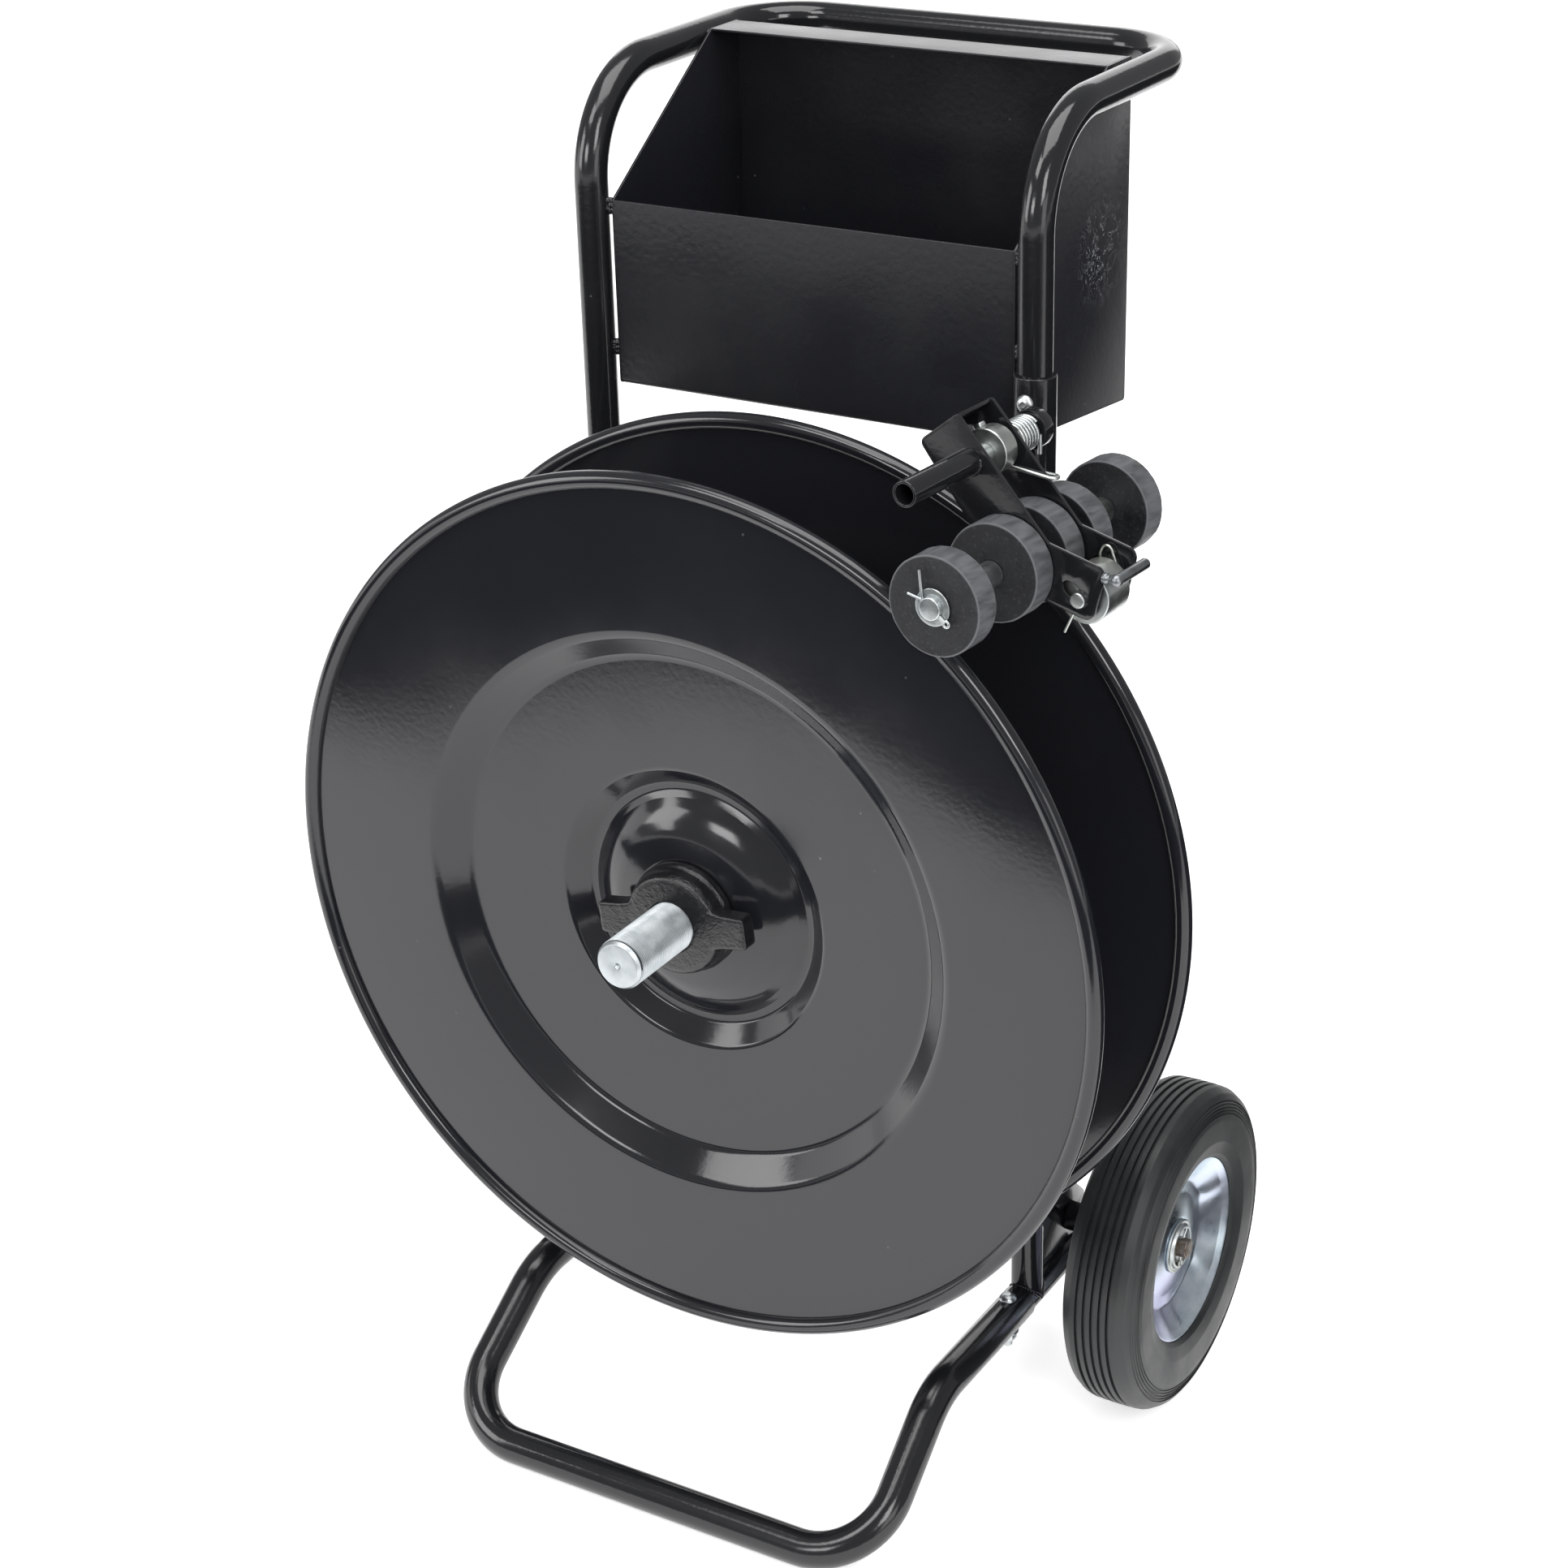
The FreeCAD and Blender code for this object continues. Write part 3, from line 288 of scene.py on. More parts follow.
def cut_rubber():
    """Rubber disc stamped from sheet: chalky grey bloom on the faces, cloudy hand marks,
    and a painted highlight: a paler line round the rim, where the rounded edge catches the light."""
    material, tree, shader, coords = new_finish("cut_rubber", 0.0, 1.40)
    centre = GUIDE @ Vector((SHAFT_N, 0.0, SHAFT_Z)) * MM
    local = add_node(tree, "Mapping", {"vector_type": "TEXTURE"}, {
        "Vector": coords, "Location": centre, "Rotation": (0.0, 0.0, GUIDE_TURN)})
    flat = add_node(tree, "VectorMath", {"operation": "MULTIPLY"}, {
        0: local.outputs["Vector"], 1: (1.0, 0.0, 1.0)})
    radius = add_node(tree, "VectorMath", {"operation": "LENGTH"}, {
        "Vector": flat.outputs["Vector"]})
    cloud = add_node(tree, "TexNoise", {}, {
        "Vector": coords, "Scale": 48.0, "Detail": 6.0, "Roughness": 0.62})
    speck = add_node(tree, "TexNoise", {}, {
        "Vector": coords, "Scale": 420.0, "Detail": 3.0, "Roughness": 0.7})
    body = add_node(tree, "ValToRGB", {}, {"Fac": cloud.outputs["Fac"]},
        [(0.34, linear("#0e0f11")), (0.70, linear("#1c1e21"))]).outputs["Color"]
    dust = add_node(tree, "ValToRGB", {}, {"Fac": speck.outputs["Fac"]},
        [(0.56, (0, 0, 0, 1)), (0.72, (0.55, 0.55, 0.55, 1))]).outputs["Color"]
    powdered = add_node(tree, "Mix", {"data_type": "RGBA"}, {
        "Factor": dust, "A": body, "B": linear("#3a3c3f")})
    # painted highlight: a paler grey ring round the rim of each roller face, where the rounded edge
    # would catch the light
    rim_highlight_rise = add_node(tree, "MapRange", {"interpolation_type": "SMOOTHSTEP"}, {
        "Value": radius.outputs["Value"], "From Min": 0.0330, "From Max": 0.0342,
        "To Min": 0.0, "To Max": 0.75})
    rim_highlight_fall = add_node(tree, "MapRange", {"interpolation_type": "SMOOTHSTEP"}, {
        "Value": radius.outputs["Value"], "From Min": 0.0345, "From Max": 0.0351,
        "To Min": 1.0, "To Max": 0.25})
    # edge is the strength of the painted rim highlight
    edge = add_node(tree, "Math", {"operation": "MULTIPLY"}, {
        0: rim_highlight_rise.outputs["Result"], 1: rim_highlight_fall.outputs["Result"]})
    colour = add_node(tree, "Mix", {"data_type": "RGBA"}, {
        "Factor": edge.outputs["Value"], "A": powdered.outputs["Result"],
        "B": linear("#5c5e61")})
    tree.links.new(colour.outputs["Result"], shader.inputs["Base Color"])
    gloss = add_node(tree, "MapRange", {}, {
        "Value": cloud.outputs["Fac"], "From Min": 0.3, "From Max": 0.7,
        "To Min": 0.42, "To Max": 0.72})
    tree.links.new(gloss.outputs["Result"], shader.inputs["Roughness"])
    bump = add_node(tree, "Bump", {}, {
        "Strength": 0.5, "Distance": 0.0004, "Height": speck.outputs["Fac"]})
    tree.links.new(bump.outputs["Normal"], shader.inputs["Normal"])
    return material


def moulded_rubber():
    """Moulded tyre rubber: blue-black, silky from the mould, with dull patches and a
    trace of grey bloom."""
    material, tree, shader, coords = new_finish("moulded_rubber", 0.0, 1.52)
    patch = add_node(tree, "TexNoise", {}, {
        "Vector": coords, "Scale": 17.0, "Detail": 5.0, "Roughness": 0.6})
    speck = add_node(tree, "TexNoise", {}, {
        "Vector": coords, "Scale": 520.0, "Detail": 2.0, "Roughness": 0.6})
    colour = add_node(tree, "ValToRGB", {}, {"Fac": patch.outputs["Fac"]},
        [(0.32, linear("#0d1011")), (0.72, linear("#1a1f20"))]).outputs["Color"]
    tree.links.new(colour, shader.inputs["Base Color"])
    gloss = add_node(tree, "MapRange", {}, {
        "Value": patch.outputs["Fac"], "From Min": 0.3, "From Max": 0.7,
        "To Min": 0.36, "To Max": 0.56})
    tree.links.new(gloss.outputs["Result"], shader.inputs["Roughness"])
    bump = add_node(tree, "Bump", {}, {
        "Strength": 0.3, "Distance": 0.0003, "Height": speck.outputs["Fac"]})
    tree.links.new(bump.outputs["Normal"], shader.inputs["Normal"])
    return material


frame_enamel = stoved_enamel(
    "gloss_enamel", linear("#151618"), linear("#6a6c70"), 0.10, 0.20, 0.30)[0]
disc_enamel = stoved_enamel(
    "disc_enamel", linear("#18191c"), linear("#4c4e52"), 0.09, 0.16, 0.12, 0.12)[0]
tray_enamel = stoved_enamel(
    "tray_enamel", linear("#17181c"), linear("#5a5c5f"), 0.22, 0.34, 0.55)[0]
scuffed_enamel = tray_side_enamel()
nut_paint = painted_casting()
bright_zinc = zinc_plate("bright_zinc", linear("#cdd1d3"), linear("#a3a9ac"),
                         0.28, 0.42, linear("#c3c6bc"), 500.0)
spindle_zinc = zinc_plate("spindle_zinc", linear("#c2c6c8"), linear("#a0a6a9"),
                          0.30, 0.44, linear("#b2b8bd"), 700.0)
rim_zinc = zinc_plate("blue_passivated_zinc", linear("#e2ecf2"), linear("#c6d6e1"),
                      0.26, 0.38, linear("#b4b1d2"), 120.0)
bearing_chrome = zinc_plate("ground_bearing_steel", linear("#c9cccd"), linear("#a9adaf"),
                            0.16, 0.26, linear("#c4c6c8"), 400.0)
bar_plate = zinc_plate("dull_plated_bar", linear("#8f9295"), linear("#6d7073"),
                       0.28, 0.42, linear("#7c7f82"), 400.0)
axle_steel = bare_steel()
roller_rubber = cut_rubber()
tyre_rubber = moulded_rubber()

# a finish together with a slot name
enamel = (frame_enamel, "black_enamel")
zinc = (bright_zinc, "zinc_steel")


# ------------------------------------------------------------------ shaping
def outline_face(bm, points, radii):
    """A flat face from its corners, each corner rounded to its own radius."""
    spots = [Vector(point) for point in points]
    corners = [bm.verts.new(spot) for spot in spots]
    face = bm.faces.new(corners)
    count = len(spots)
    for number, corner in enumerate(corners):
        radius = radii[number] if radii else 0.0
        if radius <= 0.0:
            continue
        back = (spots[number - 1] - spots[number]).normalized()
        ahead = (spots[(number + 1) % count] - spots[number]).normalized()
        half = back.angle(ahead) / 2.0
        if half > math.radians(88.0):
            continue
        bmesh.ops.bevel(bm, geom=[corner], offset=radius / math.tan(half),
                        offset_type="OFFSET", segments=5, profile=0.5,
                        affect="VERTICES", clamp_overlap=True, material=-1)


def band(inner, outer, start, end):
    """The outline of a plain bar, tube or washer, for lathe."""
    near, far = (inner, start), (inner, end)
    return [near, (outer, start), (outer, end), far]


def lathe(bm, profile, radii, origin, axis, steps):
    """A closed outline of (radius, distance along the axis), turned a full turn."""
    origin = Vector(origin)
    axis = Vector(axis).normalized()
    side = UP if abs(axis.z) < 0.7 else RIGHT
    across = (side - axis * side.dot(axis)).normalized()
    work = bmesh.new()
    outline_face(work, [origin + across * r + axis * along for r, along in profile], radii)
    bmesh.ops.delete(work, geom=list(work.faces), context="FACES_ONLY")
    on_axis = []
    for edge in work.edges:
        reaches = [((v.co - origin) - axis * (v.co - origin).dot(axis)).length for v in edge.verts]
        if max(reaches) < 0.001:
            on_axis.append(edge)
    bmesh.ops.delete(work, geom=on_axis, context="EDGES")
    bmesh.ops.spin(work, geom=list(work.verts) + list(work.edges), cent=origin, axis=axis,
                   dvec=(0, 0, 0), angle=FULL_TURN, steps=steps, use_merge=True,
                   use_normal_flip=False, use_duplicate=False)
    bmesh.ops.remove_doubles(work, verts=work.verts, dist=0.002)
    bmesh.ops.recalc_face_normals(work, faces=work.faces)
    join(bm, work)


def join(bm, other):
    """Adds a finished shape to a piece."""
    carrier = bpy.data.meshes.new("carrier")
    other.to_mesh(carrier)
    other.free()
    bm.from_mesh(carrier)
    bpy.data.meshes.remove(carrier)


def tube(bm, points, radii, radius, sides, steps):
    """A round bar along straight runs, bent to each radius, with both ends closed."""
    spots = [Vector(point) for point in points]
    heading = (spots[1] - spots[0]).normalized()
    turned = heading.to_track_quat("Z", "Y").to_matrix().to_4x4()
    work = bmesh.new()
    ring = bmesh.ops.create_circle(work, cap_ends=False, segments=sides, radius=radius,
                                   matrix=Matrix.Translation(spots[0]) @ turned)
    rim = list({edge for vert in ring["verts"] for edge in vert.link_edges})
    ends = [list(rim)]
    place = spots[0].copy()
    for before, corner, after, bend in zip(spots, spots[1:], spots[2:], radii):
        ahead = (after - corner).normalized()
        turn = heading.angle(ahead)
        start = corner - heading * (bend * math.tan(turn / 2.0))
        if (start - place).length > 0.01:
            rim = pushed(work, rim, start - place)
        hinge = heading.cross(ahead).normalized()
        inward = hinge.cross(heading).normalized()
        spun = bmesh.ops.spin(work, geom=rim, cent=start + inward * bend, axis=hinge,
                              dvec=(0, 0, 0), angle=turn, steps=steps, use_merge=False,
                              use_normal_flip=False, use_duplicate=False)
        rim = [item for item in spun["geom_last"] if isinstance(item, bmesh.types.BMEdge)]
        place = corner + ahead * (bend * math.tan(turn / 2.0))
        heading = ahead
    if (spots[-1] - place).length > 0.01:
        rim = pushed(work, rim, spots[-1] - place)
    ends.append(rim)
    for loop in ends:
        bmesh.ops.contextual_create(work, geom=[edge for edge in loop if edge.is_valid])
    bmesh.ops.recalc_face_normals(work, faces=work.faces)
    join(bm, work)


def pushed(work, rim, distance):
    """Extrudes a ring of edges by a distance and gives the new ring."""
    grown = bmesh.ops.extrude_edge_only(work, edges=rim)["geom"]
    verts = [item for item in grown if isinstance(item, bmesh.types.BMVert)]
    bmesh.ops.translate(work, verts=verts, vec=distance)
    chosen = set(verts)
    return [item for item in grown if isinstance(item, bmesh.types.BMEdge)
            and item.verts[0] in chosen and item.verts[1] in chosen]


def slab(bm, points, radii, thickness, soft):
    """A flat plate from an outline, with its edges softened."""
    work = bmesh.new()
    outline_face(work, points, radii)
    grown = bmesh.ops.extrude_face_region(work, geom=list(work.faces))["geom"]
    bmesh.ops.translate(work, vec=Vector(thickness),
                        verts=[item for item in grown if isinstance(item, bmesh.types.BMVert)])
    bmesh.ops.recalc_face_normals(work, faces=work.faces)
    soften(work, soft, 50.0)
    join(bm, work)


def soften(work, offset, over_degrees):
    """Rounds every edge sharper than an angle."""
    if offset <= 0.0:
        return
    sharp = [edge for edge in work.edges
             if edge.is_manifold and edge.calc_face_angle(0.0) > math.radians(over_degrees)]
    bmesh.ops.bevel(work, geom=sharp, offset=offset, offset_type="OFFSET", segments=2,
                    profile=0.5, affect="EDGES", clamp_overlap=True, material=-1)


def coil(bm, origin, axis, coil_r, wire_r, pitch, turns, sides):
    """Round wire wound into a helix, from a circle spun and advanced."""
    origin = Vector(origin)
    axis = Vector(axis).normalized()
    across = axis.orthogonal().normalized()
    steps = int(turns * 40)
    work = bmesh.new()
    sideways = axis.cross(across).normalized()
    turned = sideways.to_track_quat("Z", "Y").to_matrix().to_4x4()
    ring = bmesh.ops.create_circle(work, cap_ends=False, segments=sides, radius=wire_r,
                                   matrix=Matrix.Translation(origin + across * coil_r) @ turned)
    rim = list({edge for vert in ring["verts"] for edge in vert.link_edges})
    spun = bmesh.ops.spin(work, geom=rim, cent=origin, axis=axis,
                          dvec=axis * (pitch * turns / steps), angle=FULL_TURN * turns,
                          steps=steps, use_merge=False,
                          use_normal_flip=False, use_duplicate=False)
    last = [item for item in spun["geom_last"] if isinstance(item, bmesh.types.BMEdge)]
    for loop in (rim, last):
        bmesh.ops.contextual_create(work, geom=loop)
    bmesh.ops.recalc_face_normals(work, faces=work.faces)
    join(bm, work)


def weld_bead(bm, points, size, seed):
    """A run of overlapping weld ripples along a line of points."""
    dice = random.Random(seed)
    for start, end in zip(points, points[1:]):
        start, end = Vector(start), Vector(end)
        count = max(1, int((end - start).length / (size * 0.75)))
        for number in range(count):
            spot = start.lerp(end, number / count)
            puddle = size * dice.uniform(0.85, 1.12)
            bmesh.ops.create_icosphere(bm, subdivisions=2, radius=puddle,
                                       matrix=Matrix.Translation(spot))


def piece(name, bm, body, material, slot, *nodes, smooth=38.0):
    """Finishes a shape in millimetres: to metres, to a mesh, and on to its body."""
    bmesh.ops.scale(bm, vec=(MM, MM, MM), verts=bm.verts)
    mesh = bpy.data.meshes.new(name)
    bm.to_mesh(mesh)
    bm.free()
    placed(name, mesh, body, material, nodes, smooth)


def placed(name, mesh, body, material, nodes, smooth):
    """A finished mesh as an object: shading, material, body and replaced nodes."""
    for polygon in mesh.polygons:
        polygon.use_smooth = True
    mesh.set_sharp_from_angle(angle=math.radians(smooth))
    mesh.materials.append(material)
    made = bpy.data.objects.new(name, mesh)
    bpy.context.scene.collection.objects.link(made)
    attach(made, body)
    if nodes:
        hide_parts(*nodes)


def softened(name, node, body, material, slot, offset):
    """The frame's own solid for a plain machined piece, with its edges broken."""
    bm = bmesh.new()
    bm.from_mesh(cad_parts[node].data)
    bmesh.ops.remove_doubles(bm, verts=bm.verts, dist=0.000002)
    bmesh.ops.dissolve_limit(bm, angle_limit=math.radians(0.5), use_dissolve_boundaries=False,
                             verts=bm.verts, edges=bm.edges, delimit=set())
    soften(bm, offset * MM, 50.0)
    mesh = bpy.data.meshes.new(name)
    bm.to_mesh(mesh)
    bm.free()
    placed(name, mesh, body, material, [node], 38.0)


def guide_piece(name, bm, body, material, slot, *nodes, smooth=38.0):
    """A piece made in the guide arm's own axes: across, along the pivot, up."""
    bmesh.ops.transform(bm, matrix=GUIDE, verts=bm.verts)
    piece(name, bm, body, material, slot, *nodes, smooth=smooth)


def dome_bolt(bm, seat, away, head_r, rise, shank_r, length):
    """A round head on its seat, dished a little at the centre of its crown, and the shank behind
    it.
    """
    seat, away = Vector(seat), Vector(away).normalized()
    lathe(bm, [(0, -length), (shank_r, -length), (shank_r, 0), (head_r, 0),
               (head_r, rise * 0.28), (head_r * 0.78, rise * 0.75), (head_r * 0.35, rise),
               (0, rise * 0.94)],
          [0, 0.6, 0, 0.3, head_r * 0.4, head_r * 0.6, 1.2, 0], seat, away, 40)


def hex_body(bm, start, away, across_flats, thickness, turn):
    """A hexagon with its corners chamfered."""
    start, away = Vector(start), Vector(away).normalized()
    flat = away.orthogonal().normalized()
    reach = across_flats / math.sqrt(3.0)
    corners = [start + Matrix.Rotation(turn + FULL_TURN * n / 6.0, 3, away) @ (flat * reach)
               for n in range(6)]
    slab(bm, corners, None, away * thickness, 0.8)


def split_pin(bm, centre, along, leg_away, length, wire_r, spread):
    """A split pin: an eye on one side and two legs spread on the other."""
    centre = Vector(centre)
    along, leg_away = Vector(along).normalized(), Vector(leg_away).normalized()
    head = centre - along * (length * 0.5)
    eye_r = wire_r * 2.2
    coil(bm, head - along * eye_r, along.cross(leg_away), eye_r, wire_r, 0.0, 1, 12)
    for side, tip in zip((-1, 1), spread):
        shift = leg_away * (side * wire_r * 0.55)
        bend = centre + along * (length * 0.35) + shift
        tube(bm, [head + shift, bend, bend + along * tip[0] + leg_away * tip[1]],
             [wire_r * 2.5], wire_r, 12, 5)


# ------------------------------------------------------------------ frame
def mitre_weld(bm, side, size, seed):
    """Weld round the foot of an upright where it is coped over the low tube."""
    ring = []
    for step in range(37):
        angle = FULL_TURN * step / 36.0
        ring.append((side * FRAME_HALF + TUBE_R * math.cos(angle),
                     FRAME_Y + TUBE_R * math.sin(angle),
                     LOW_TUBE_Z + TUBE_R * abs(math.sin(angle))))
    weld_bead(bm, ring, size, seed)


def mirrored(points):
    """A path from the left end to the middle, and the same path back out to the right."""
    return points + [(-x, y, z) for x, y, z in reversed(points)]


def make_frame():
    bm = bmesh.new()
    tube(bm, mirrored([(-FRAME_HALF, FRAME_Y, LOW_TUBE_Z), (-FRAME_HALF, FRAME_Y, HANDLE_Z),
                       (-FRAME_HALF, HANDLE_Y, HANDLE_Z)]),
         HANDLE_BENDS, TUBE_R, 64, 24)
    for side in (-1, 1):
        mitre_weld(bm, side, 1.9, 11 + side)
        for level in (-CROSSBAR_RISE, CROSSBAR_RISE):
            ring = []
            for step in range(25):
                y = FRAME_Y + TUBE_R * math.cos(FULL_TURN * step / 24.0)
                z = REEL_Z + level + TUBE_R * math.sin(FULL_TURN * step / 24.0)
                depth = math.sqrt(max(0.0, TUBE_R ** 2 - (y - FRAME_Y) ** 2))
                ring.append((side * (FRAME_HALF - depth), y, z))
            weld_bead(bm, ring, 1.8, 21 + side)
    piece("main_frame_tube", bm, "frame", *enamel, "main_frame")

    bm = bmesh.new()
    tube(bm, mirrored([(-FRAME_HALF, LOW_FRONT, LOW_TUBE_Z), (-FRAME_HALF, LOW_REAR, LOW_TUBE_Z)]),
         LOW_BENDS, TUBE_R, 48, 16)
    piece("low_frame_tube", bm, "frame", *enamel, "base_frame")

    run = (LOW_TUBE_Z - FOOT_R) / math.tan(FOOT_RISE)
    bm = bmesh.new()
    tube(bm, mirrored([(-FRAME_HALF, FOOT_SLEEVE_END, LOW_TUBE_Z),
                       (-FRAME_HALF, FOOT_Y + run, LOW_TUBE_Z), (-FOOT_HALF, FOOT_Y, FOOT_R)]),
         FOOT_BENDS, FOOT_R, 64, 20)
    soften(bm, 0.5, 70.0)
    piece("foot_stand_tube", bm, "frame", *enamel, "foot_stand")

    bolts, nuts, washers = bmesh.new(), bmesh.new(), bmesh.new()
    for side in (-1, 1):
        x = side * FRAME_HALF
        dome_bolt(bolts, (x, FOOT_BOLT_Y, LOW_TUBE_Z + FOOT_R - 0.3), UP, 7.0, 4.7, 4.0, 42.3)
        hex_body(nuts, (x, FOOT_BOLT_Y, LOW_TUBE_Z - FOOT_R - 1.6), -UP, 13.0, 6.5, 0.3)
        lathe(washers, band(4.0, 9.0, 0, 1.6), [0.2, 0.4, 0.4, 0.2],
              (x, FOOT_BOLT_Y, LOW_TUBE_Z - FOOT_R), -UP, 40)
    piece("foot_stand_bolts", bolts, "frame", *zinc, "foot_bolts")
    piece("foot_stand_nuts", nuts, "frame", *zinc, "foot_nuts")
    piece("foot_stand_washers", washers, "frame", *zinc, "foot_washers")

    for node, label, material, slot, edge in (
            ("crossbars", "housing_crossbars", *enamel, 0.0),
            ("housing_plates", "housing_face_plates", *enamel, 0.8),
            ("spindle_housing", "housing_barrel", *enamel, 0.8),
            ("spindle_bearings", "housing_bearings", bearing_chrome, "bearing_steel", 0.5),
            ("axle_brackets", "axle_bracket_plates", *enamel, 0.7),
            ("axle_spacers", "axle_spacer_tubes", *enamel, 0.5)):
        softened(label, node, "frame", material, slot, edge)


def make_axle():
    bm = bmesh.new()
    lathe(bm, band(0, AXLE_R, -AXLE_HALF, AXLE_HALF),
          [0, 1.0, 1.0, 0], (0, AXLE_Y, WHEEL_R), RIGHT, 48)
    piece("axle_bar", bm, "frame", axle_steel, "bare_steel", "axle")
    washers, pins = bmesh.new(), bmesh.new()
    for side in (-1, 1):
        start = (side * (AXLE_HALF - 11.0), AXLE_Y, WHEEL_R)
        lathe(washers, band(AXLE_R, 14.0, 0, 2.4), [0.3, 0.6, 0.6, 0.3],
              start, RIGHT * side, 48)
        split_pin(pins, (side * (AXLE_HALF - 6.0), AXLE_Y, WHEEL_R), (0, 0.25, 0.97),
                  (0, 0.97, -0.25), 23.0, 1.1, ((2.0, -6.0), (7.0, 4.0)))
    piece("axle_end_washers", washers, "frame", *zinc, "axle_washers")
    piece("axle_end_pins", pins, "frame", *zinc, "axle_cotters")


# ------------------------------------------------------------------ tray
def make_tray():
    half = TRAY_HALF - TRAY_SHEET
    t = TRAY_SHEET
    outline = [
        (TRAY_FRONT, TRAY_FRONT_TOP), (TRAY_FRONT, TRAY_FRONT_LOW), (TRAY_BACK, TRAY_BACK_LOW),
        (TRAY_BACK, TRAY_TOP), (TRAY_BACK - TRAY_LIP, TRAY_TOP),
        (TRAY_BACK - TRAY_LIP, TRAY_TOP - t), (TRAY_BACK - t, TRAY_TOP - t),
        (TRAY_BACK - t, TRAY_BACK_LOW + t), (TRAY_FRONT + t, TRAY_FRONT_LOW + t),
        (TRAY_FRONT + t, TRAY_FRONT_TOP)]
    radii = [0.5, 4.0, 4.0, 4.0, 0.5, 0.5, 2.1, 2.1, 2.1, 0.5]
    bm = bmesh.new()
    slab(bm, [(-half, y, z) for y, z in outline], radii, (2 * half, 0, 0), 0.0)
    piece("tray_sheet", bm, "frame", tray_enamel, "black_enamel", "tray_wrap", smooth=30.0)

    side_outline = [(TRAY_FRONT, TRAY_FRONT_LOW), (TRAY_BACK, TRAY_BACK_LOW),
                    (TRAY_BACK, TRAY_TOP), (TRAY_BACK - TRAY_LIP, TRAY_TOP),
                    (TRAY_FRONT, TRAY_FRONT_TOP)]
    for side, word, finish in ((1, "right", scuffed_enamel), (-1, "left", tray_enamel)):
        bm = bmesh.new()
        slab(bm, [(side * TRAY_HALF, y, z) for y, z in side_outline],
             [3.0, 3.0, 2.0, 1.5, 1.5], (-side * t, 0, 0), 0.45)
        piece("tray_cheek_" + word, bm, "frame", finish, "black_enamel", "tray_side_" + word)

    bm = bmesh.new()
    low_left, low_right, high = TRAY_FRONT_LOW + 22.0, SLEEVE_TOP + 8.0, TRAY_FRONT_TOP - 10.0
    y = TRAY_FRONT + 2.0
    for side, level, seed in ((-1, low_left, 1), (-1, high, 2), (1, low_right, 3), (1, high, 4)):
        x = side * (TRAY_HALF + 2.0)
        weld_bead(bm, [(x, y, level + 2.0), (x, y, level + 12.0)], 3.4, seed)
        x += side * 1.6
        weld_bead(bm, [(x, y - 1.5, level + 3.0), (x, y - 1.5, level + 11.0)], 2.6, seed + 20)
    for side in (-1, 1):
        weld_bead(bm, [(side * (FRAME_HALF - 12.5), TRAY_BACK - 36.0, TRAY_TOP - 4.0),
                       (side * (FRAME_HALF - 12.5), TRAY_BACK - 22.0, TRAY_TOP - 4.0)], 2.4, 7)
    piece("tray_weld_beads", bm, "frame", *enamel, "tray_welds")


# ------------------------------------------------------------------ reel
def make_disc(name, front, inward, hole_r, body, node):
    """Pressed flange: flat rim band, ring step, groove and domed centre, beaded edge."""
    face = [(hole_r, 12.0, 0.0), (44.0, 12.0, 7.0), (62.0, 15.4, 40.0), (76.0, 21.0, 40.0),
            (86.0, 28.6, 4.5), (91.0, 31.6, 3.0), (97.0, 31.2, 4.0), (111.5, 18.4, 6.0),
            (199.0, 18.4, 10.0), (220.0, 0.0, 12.0), (DISC_R - BEAD_R, 0.0, 0.0)]
    near = [(r, inward * depth) for r, depth, _ in face]
    far = [(r, inward * (depth + SHEET)) for r, depth, _ in reversed(face)]
    bends = [bend for _, _, bend in face]
    bm = bmesh.new()
    lathe(bm, near + far, bends + bends[::-1], (0, front, REEL_Z), BACK, 256)
    lathe(bm, [(DISC_R - BEAD_R + BEAD_R * math.cos(FULL_TURN * n / 28.0),
                BEAD_R * math.sin(FULL_TURN * n / 28.0)) for n in range(28)],
          None, (0, front, REEL_Z), BACK, 256)
    piece(name, bm, body, disc_enamel, "disc_enamel", node, smooth=42.0)


def make_spindle():
    """Plated bar with a fine thread cut on its front length and a drilled centre."""
    turns = THREAD_LENGTH / THREAD_PITCH
    work = bmesh.new()
    root = SPINDLE_R - 1.1
    start = SPINDLE_FRONT + 2.6
    tooth = [(root, 0.0), (SPINDLE_R, THREAD_PITCH * 0.42), (SPINDLE_R, THREAD_PITCH * 0.58),
             (root, THREAD_PITCH)]
    verts = [work.verts.new((r, start + along, REEL_Z)) for r, along in tooth]
    edges = [work.edges.new(pair) for pair in zip(verts, verts[1:])]
    steps = int(turns * THREAD_STEPS)
    bmesh.ops.spin(work, geom=verts + edges, cent=(0, 0, REEL_Z), axis=BACK,
                   dvec=(0, THREAD_PITCH / THREAD_STEPS, 0),
                   angle=FULL_TURN * steps / THREAD_STEPS, steps=steps,
                   use_merge=False, use_normal_flip=False, use_duplicate=False)
    bmesh.ops.remove_doubles(work, verts=work.verts, dist=0.01)
    bmesh.ops.recalc_face_normals(work, faces=work.faces)
    bm = bmesh.new()
    join(bm, work)
    # the plain bar inside the thread closes it at the front and carries on to the rear
    lathe(bm, [(0, 3.0), (1.2, 2.2), (2.6, 0), (SPINDLE_R - 2.4, 0), (SPINDLE_R - 0.4, 2.6),
               (SPINDLE_R - 0.4, 5.0), (root + 0.05, 5.6), (root + 0.05, THREAD_LENGTH + 3.0),
               (SPINDLE_R, THREAD_LENGTH + 4.5), (SPINDLE_R, SPINDLE_REAR - SPINDLE_FRONT),
               (0, SPINDLE_REAR - SPINDLE_FRONT)],
          [0, 0, 0.4, 0.6, 0.3, 0, 0, 0, 0, 1.2, 0], (0, SPINDLE_FRONT, REEL_Z), BACK, 88)
    piece("spindle_bar", bm, "reel", spindle_zinc, "zinc_steel", "spindle", smooth=32.0)


